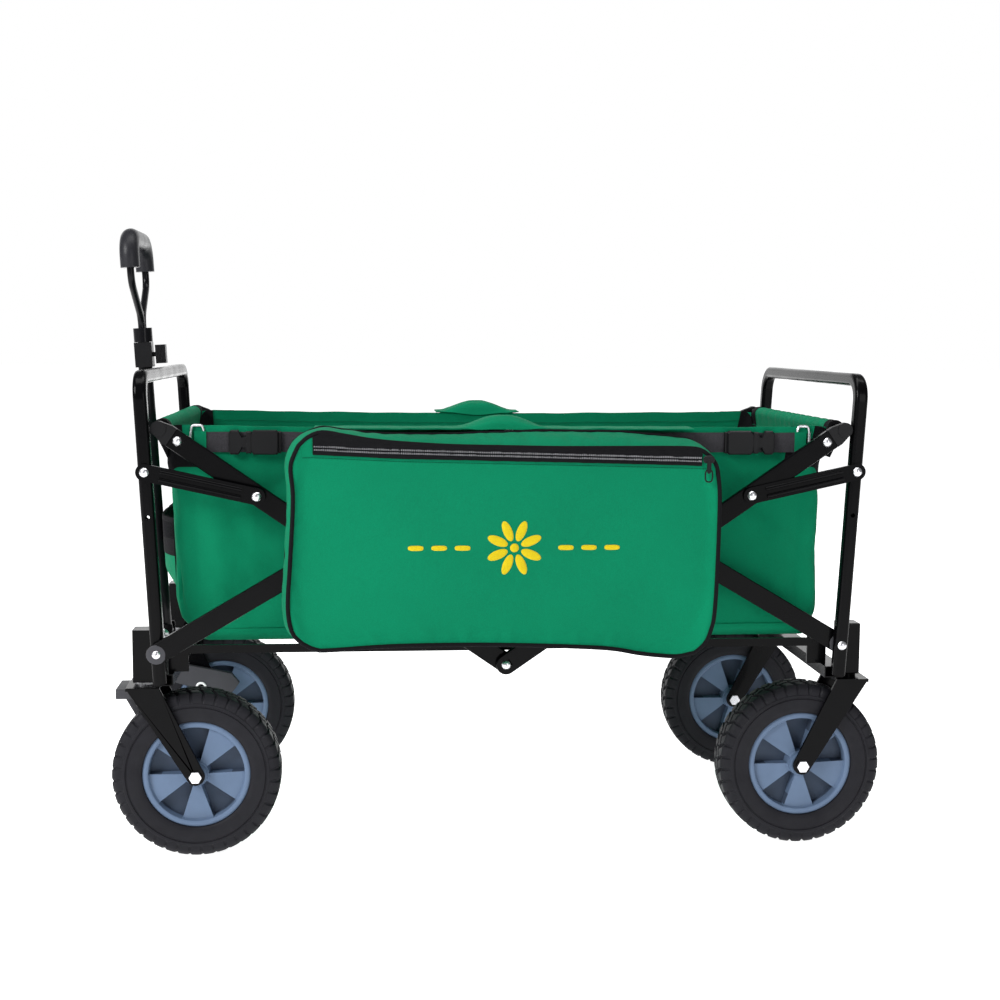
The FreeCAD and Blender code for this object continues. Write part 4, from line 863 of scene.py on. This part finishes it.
def bag_mesh():
    """(points in mm from the middle plane, faces, pinned indices) of the closed bag."""
    grid = np.zeros((DOWN, ACROSS, 3))
    grid[:, :, 0], grid[:, :, 2] = front_xz[:, :, 0], front_xz[:, :, 1]
    s, t = np.linspace(-1, 1, ACROSS)[None, :], np.linspace(-1, 1, DOWN)[:, None]
    inside = (1 - np.abs(s) ** 6) * (1 - np.abs(t) ** 4)
    grid[:, :, 1] = BAG_FRONT_Y - 3.4 * inside - inside * 0.9 * waves(grid[:, :, 0] - grid[:, :, 2],
            grid[:, :, 2], 60, 5)
    points = list(grid.reshape(-1, 3))
    faces = [f[::-1] for f in grid_faces(DOWN, ACROSS)]
    loop = [i * ACROSS + j for i, j in edge_cells()]
    pinned = list(loop)
    rows = 9
    previous = list(loop)
    for r in range(1, rows + 1):
        share = r / rows
        here = ring + (back_ring - ring) * share
        out = 3.6 * math.sin(share * math.pi)
        outward = here - bag_middle
        outward /= np.linalg.norm(outward, axis=1, keepdims=True)
        moved = here + outward * out
        depth = BAG_FRONT_Y + (BAG_BACK_Y - BAG_FRONT_Y) * share
        start = len(points)
        points += [(p[0], depth, p[1]) for p in moved]
        current = list(range(start, start + RING))
        for k in range(RING):
            n = (k + 1) % RING
            faces.append((previous[k], previous[n], current[n], current[k]))
        previous = current
    pinned += previous
    back = back_outline(front_xz.reshape(-1, 2))
    index = np.full((DOWN, ACROSS), -1)
    for k, (i, j) in enumerate(edge_cells()):
        index[i, j] = previous[k]
    for i in range(1, DOWN - 1):
        for j in range(1, ACROSS - 1):
            index[i, j] = len(points)
            pinned.append(len(points))
            points.append((back[i * ACROSS + j][0], BAG_BACK_Y, back[i * ACROSS + j][1]))
    flat = index.ravel()
    faces += [tuple(int(flat[n]) for n in f) for f in grid_faces(DOWN, ACROSS)]
    return np.array(points), faces, pinned


def sewn_bag():
    points, faces, pinned = bag_mesh()
    rested = points.copy()
    piece = build("bag_cloth", points * MM + np.array((0, MID_Y, 0)), faces, GREEN, None, sharp=0)
    group = piece.vertex_groups.new(name="seam")
    group.add([int(i) for i in pinned], 1.0, "REPLACE")
    cloth_sim = piece.modifiers.new("cloth", "CLOTH")
    settings = cloth_sim.settings
    settings.quality, settings.mass = 6, 0.35
    settings.tension_stiffness, settings.compression_stiffness = 22, 14
    settings.shear_stiffness, settings.bending_stiffness = 6, 0.9
    settings.tension_damping = settings.compression_damping = settings.shear_damping = 12
    settings.air_damping = 4
    settings.use_pressure, settings.uniform_pressure_force = True, 4.0
    settings.vertex_group_mass = "seam"
    settings.effector_weights.gravity = 0
    settings.shrink_min = -0.012
    cloth_sim.point_cache.frame_start, cloth_sim.point_cache.frame_end = 1, 20
    scene = bpy.context.scene
    for number in range(1, 21):
        scene.frame_set(number)
    shown = piece.evaluated_get(bpy.context.evaluated_depsgraph_get())
    moved = np.array([v.co for v in shown.data.vertices]) / MM - np.array((0, MID_Y / MM, 0))
    shift = moved - rested
    length = np.linalg.norm(shift, axis=1, keepdims=True)
    limit = 5.0
    shift *= np.minimum(1.0, limit / np.maximum(length, 1e-9))
    piece.modifiers.remove(cloth_sim)
    piece.vertex_groups.clear()
    final = (rested + shift) * MM + np.array((0, MID_Y, 0))
    piece.data.vertices.foreach_set("co", final.ravel())
    scene.frame_set(1)
    piece.data.update()
    return piece


bag = sewn_bag()
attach(bag, TUB_BODY)
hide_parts("side_bag")
softened = bag.modifiers.new("smooth", "SUBSURF")
softened.levels = softened.render_levels = 1
bag_tree = BVHTree.FromPolygons([v.co for v in bag.data.vertices],
                                [tuple(p.vertices) for p in bag.data.polygons])
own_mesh(bag)


def on_bag(x, z, out=0.6):
    """A point in metres on the front of the bag, lifted off it by out mm."""
    start = at(x, -330, z)
    hit = bag_tree.ray_cast(start, Vector((0, 1, 0)))[0]
    y = hit.y if hit is not None and hit.y < MID_Y - 0.27 else MID_Y + (BAG_FRONT_Y - 0.5) * MM
    return Vector((x * MM, y - out * MM, z * MM))


def piping(name, loop, y, radius):
    path = [at(x, y, z) for x, z in loop]
    cloth_piece(name, sweep(path, circle(radius * MM, 12), True, Vector((0, 1, 0))), BINDING, "webbing_black")


piping("bag_front_piping", ring, BAG_FRONT_Y - 0.4, 2.5)
piping("bag_back_piping", back_ring, BAG_BACK_Y - 1.6, 2.1)

BAND_LEFT, BAND_RIGHT = -228.0, 221.0


def band_low(x):
    return np.interp(x, (-228, -129, -15, 101, 221), (495.7, 491.2, 488.6, 486.2, 483.0))


def band_high(x):
    top = np.array(TOP_EDGE)
    return np.interp(x, top[:, 0], top[:, 1]) - 1.2


def zip_line(x):
    return 490.4 + 0.026 * (221 - np.asarray(x, float)) + 1.5 * hill(x, -228, 40)


def bag_patch(xs, lows, highs, rows, out):
    grid = [[tuple(on_bag(x, low + (high - low) * (1 - r), out)) for x, low, high in zip(xs, lows, highs)]
            for r in np.linspace(0, 1, rows)]
    return thick(np.array(grid), 1.2)


band_x = np.linspace(BAND_LEFT, BAND_RIGHT, 130)
cloth_piece("zip_tape", bag_patch(band_x, band_low(band_x), band_high(band_x), 9, 0.9), BINDING,
            "webbing_black")
for label, lift in (("upper", 1.9), ("lower", -1.9)):
    teeth = []
    for x in np.arange(BAND_LEFT + 2, BAND_RIGHT - 1, 2.1):
        z = float(zip_line(x)) + lift
        middle = on_bag(x, z, 1.7)
        ring_a = [(-0.7, -1.35), (0.7, -1.35), (0.7, 1.35), (-0.7, 1.35)]
        low_layer = [middle + Vector((a * MM, 0.0007, b * MM)) for a, b in ring_a]
        high_layer = [middle + Vector((a * 0.6 * MM, -0.0006, b * 0.7 * MM)) for a, b in ring_a]
        teeth.append((low_layer + high_layer,
                      [(3, 2, 1, 0), (4, 5, 6, 7), (0, 1, 5, 4), (1, 2, 6, 5), (2, 3, 7, 6),
                                               (3, 0, 4, 7)]))
    cloth_piece(f"zip_teeth_{label}", merge(teeth), TEETH, "black_plastic")
for label, line_z in (("lower", -3.4),):
    line = [on_bag(x, float(band_low(x)) + line_z, 0.2) for x in np.linspace(-240, 233, 150)]
    cloth_piece(f"zip_{label}_stitch", stitches(line, 0.45), GREEN_DARK, "fabric_green")


def raised_pad(outline, height, rows=5):
    """(points, faces) of a stitched pad on the bag front; outline is (x, z) in mm."""
    outline = np.array(outline, float)
    middle = outline.mean(0)
    points, faces = [], []
    for r in range(rows):
        share = r / (rows - 1)
        lift = height * math.sin(share * math.pi / 2)
        points += [on_bag(*(middle + (p - middle) * (1 - 0.97 * share ** 2)), 0.15 + lift) for p in outline]
    faces = [f[::-1] for f in grid_faces(rows, len(outline), False, True)]
    faces.append(tuple((rows - 1) * len(outline) + k for k in range(len(outline))))
    return points, faces


petals = []
for k in range(8):
    turn = TAU * k / 8 + TAU / 16
    away, across = np.array((math.cos(turn), math.sin(turn))), np.array((-math.sin(turn), math.cos(turn)))
    petal = [np.array((3, 388)) + away * (21 + 12.5 * math.cos(a)) + across * 5.4 * math.sin(a)
             for a in np.arange(18) * TAU / 18]
    petals.append(raised_pad(petal, 1.1))
petals.append(raised_pad([(3 + 5.2 * math.cos(a),
                           388 + 5.2 * math.sin(a)) for a in np.arange(16) * TAU / 16], 1.4))
cloth_piece("emblem_rosette", merge(petals), YELLOW, "fabric_green")
dashes = []
for sign in (-1, 1):
    for k in range(3):
        middle_x = 3 + sign * (60 + 27 * k)
        dashes.append(raised_pad([(middle_x + 9 * c, 388 + 3.0 * s) for c, s in circle(1.0, 20, power=3.5)],
                                 1.0))
cloth_piece("emblem_dashes", merge(dashes), YELLOW, "fabric_green")

# ---- straps, buckles and rings ---------------------------------------------------

STRAP_Y = -190.2
strap_x = np.linspace(-366, 366, 250)
strap_rows = np.linspace(516, 492, 9)
gx, gz = np.meshgrid(strap_x, strap_rows)
strap_out = 0.35 * waves(gx, gz, 14, 6.0) + 0.3 * np.cos((gz - 504) / 12 * math.pi)
strap = np.stack([gx * MM, MID_Y + (STRAP_Y - strap_out) * MM,
                  (gz + 0.8 * waves(gx, gz * 0, 50, 8.0)) * MM], 2)
cloth_piece("strap_webbing", thick(strap[:, ::-1], -1.7), WEBBING, "webbing_black", hides=("bag_straps",))


def buckle(sign):
    """(points, faces) of a side-release buckle: socket, waisted plug arms and a strap bar."""
    def place(x):
        return sign * x
    socket = [(273, 489.5), (300, 489.5), (304, 493), (305, 504), (304, 515), (300, 518.5), (273, 518.5),
              (270.5, 516),
              (270.5, 492)]
    plug = [(306, 495), (313, 497.5), (318, 489.5), (327, 489.5), (329.5, 493), (329.5, 515), (327, 518.5),
            (318, 518.5), (313, 510.5), (306, 513)]
    rim_a = [(303, 491), (309, 491), (309, 517), (303, 517)]
    bar = [(268, 491), (274.5, 491), (274.5, 517), (268, 517)]
    parts = []
    for shape, low, high, bevel in ((socket, 190.6, 200.2, 1.8), (plug, 191, 198.6, 1.6),
                                    (rim_a, 190.8, 200.6, 1.2),
                                    (bar, 190.8, 197, 1.2)):
        points = [(place(x), z) for x, z in shape]
        parts.append(slab(points if sign > 0 else points[::-1], low, high, bevel))
    return merge(parts)


for end, sign, body in (("rear", 1, TUB_BODY), ("front", -1, TUB_FRONT)):
    build(f"{end}_buckle", *buckle(sign), PLASTIC, body, "black_plastic", (f"{end}_strap_hardware",), 30)
    loop = [at(sign * (366.5 + 7.5 * c), -191.6, 509.5 + 14.5 * s) for c, s in circle(1.0, 40, power=4.5)]
    build(f"{end}_ring", *sweep(loop, circle(1.5 * MM, 10), True, Vector((0, 1, 0))), STEEL, body,
          "rivet_steel")
    tab_x = sign * np.linspace(356, 370, 12)
    gx, gz = np.meshgrid(tab_x, np.linspace(517, 493, 8))
    tab = np.stack([gx * MM, np.full(gx.shape, MID_Y - 0.1932), gz * MM], 2)
    cloth_piece(f"{end}_strap_tab", thick(tab if sign < 0 else tab[:, ::-1], 1.6), GREEN, "fabric_green",
                body)

# ---- zip slider ------------------------------------------------------------------

slider_x, slider_z = 228.0, float(zip_line(221)) + 0.4
slider_y = 287.0
body_outline = [(slider_x + 6.5 * c, slider_z + 4.6 * s) for c, s in circle(1.0, 20, power=3)]
tongue = [(slider_x + 2.6 * c, slider_z - 8 + 8.5 * s) for c, s in circle(1.0, 16, power=4)]
slider_parts = [slab(body_outline, slider_y, slider_y + 2.6, 0.7),
                slab(tongue, slider_y + 2.0, slider_y + 3.4, 0.5)]
pull_loop = [at(slider_x + 4.2 * c, -(slider_y + 2.4), slider_z - 19 + 7.0 * s) for c,
             s in circle(1.0, 28, power=3)]
slider_parts.append(sweep(pull_loop, circle(0.9 * MM, 8), True, Vector((0, 1, 0))))
build("zip_puller", *merge(slider_parts), PLASTIC, "zipper", "black_plastic", ("zipper_slider",), 40)


# ---- camera, light, floor --------------------------------------------------------

def aim(yaw, pitch, roll):
    """Camera rotation: yaw right of +Y, pitch up and roll, in radians."""
    forward = Vector((math.sin(yaw) * math.cos(pitch), math.cos(yaw) * math.cos(pitch), math.sin(pitch)))
    right = Vector((math.cos(yaw), -math.sin(yaw), 0))
    down = forward.cross(right)
    level = right * math.cos(roll) + down * math.sin(roll)
    drop = down * math.cos(roll) - right * math.sin(roll)
    return Matrix((level, -drop, -forward)).transposed()


camera = bpy.data.objects.new("camera", bpy.data.cameras.new("camera"))
bpy.context.scene.collection.objects.link(camera)
camera.location = at(-170.5, -2032.6, 629.2)
camera.rotation_euler = aim(0.0891, -0.1052, -0.0069).to_euler()
camera.data.lens, camera.data.sensor_width = 55.28, 36
bpy.context.scene.camera = camera
bpy.context.scene.view_settings.view_transform = "Standard"


def soft_box(name, place, target, width, height, power):
    """A rectangular studio light aimed at a point."""
    light = bpy.data.lights.new(name, "AREA")
    light.shape, light.size, light.size_y, light.energy = "RECTANGLE", width, height, power
    lamp = bpy.data.objects.new(name, light)
    bpy.context.scene.collection.objects.link(lamp)
    lamp.location = place
    lamp.rotation_euler = (Vector(target) - Vector(place)).to_track_quat("-Z", "Y").to_euler()


soft_box("key", (-2.5, -2.1, 2.3), (0, 0, 0.35), 1.3, 1.3, 125)
soft_box("fill", (1.5, -3.0, 1.3), (0, 0, 0.35), 1.0, 1.6, 16)
soft_box("top", (0.1, -0.2, 2.6), (0, 0, 0.3), 2.4, 0.9, 34)
soft_box("back", (0, 3.2, 1.3), (0, 0, 0.7), 7.0, 2.6, 75)

world = bpy.data.worlds.new("studio")
world.use_nodes = True
bpy.context.scene.world = world
tree = world.node_tree
seen = tree.nodes["Background"]
seen.inputs["Color"].default_value = (1, 1, 1, 1)
seen.inputs["Strength"].default_value = 1.0
lighting = tree.nodes.new("ShaderNodeBackground")
lighting.inputs["Color"].default_value = (0.96, 0.98, 1, 1)
lighting.inputs["Strength"].default_value = 0.22
path = tree.nodes.new("ShaderNodeLightPath")
choose = tree.nodes.new("ShaderNodeMixShader")
tree.links.new(path.outputs["Is Camera Ray"], choose.inputs[0])
tree.links.new(lighting.outputs[0], choose.inputs[1])
tree.links.new(seen.outputs[0], choose.inputs[2])
tree.links.new(choose.outputs[0], tree.nodes["World Output"].inputs["Surface"])

floor_shader = Shader("pale_floor", (0.93, 0.93, 0.93), 0.75, Emission_Color=(1, 1, 1, 1),
                      Emission_Strength=0.93)
floor_shader.tint(floor_shader.noise(3, 3), 0.985, 1.015)
floor = build("floor", [(-30, -30, 0), (30, -30, 0), (30, 30, 0), (-30, 30, 0)], [(0, 1, 2, 3)],
              floor_shader.material, None)
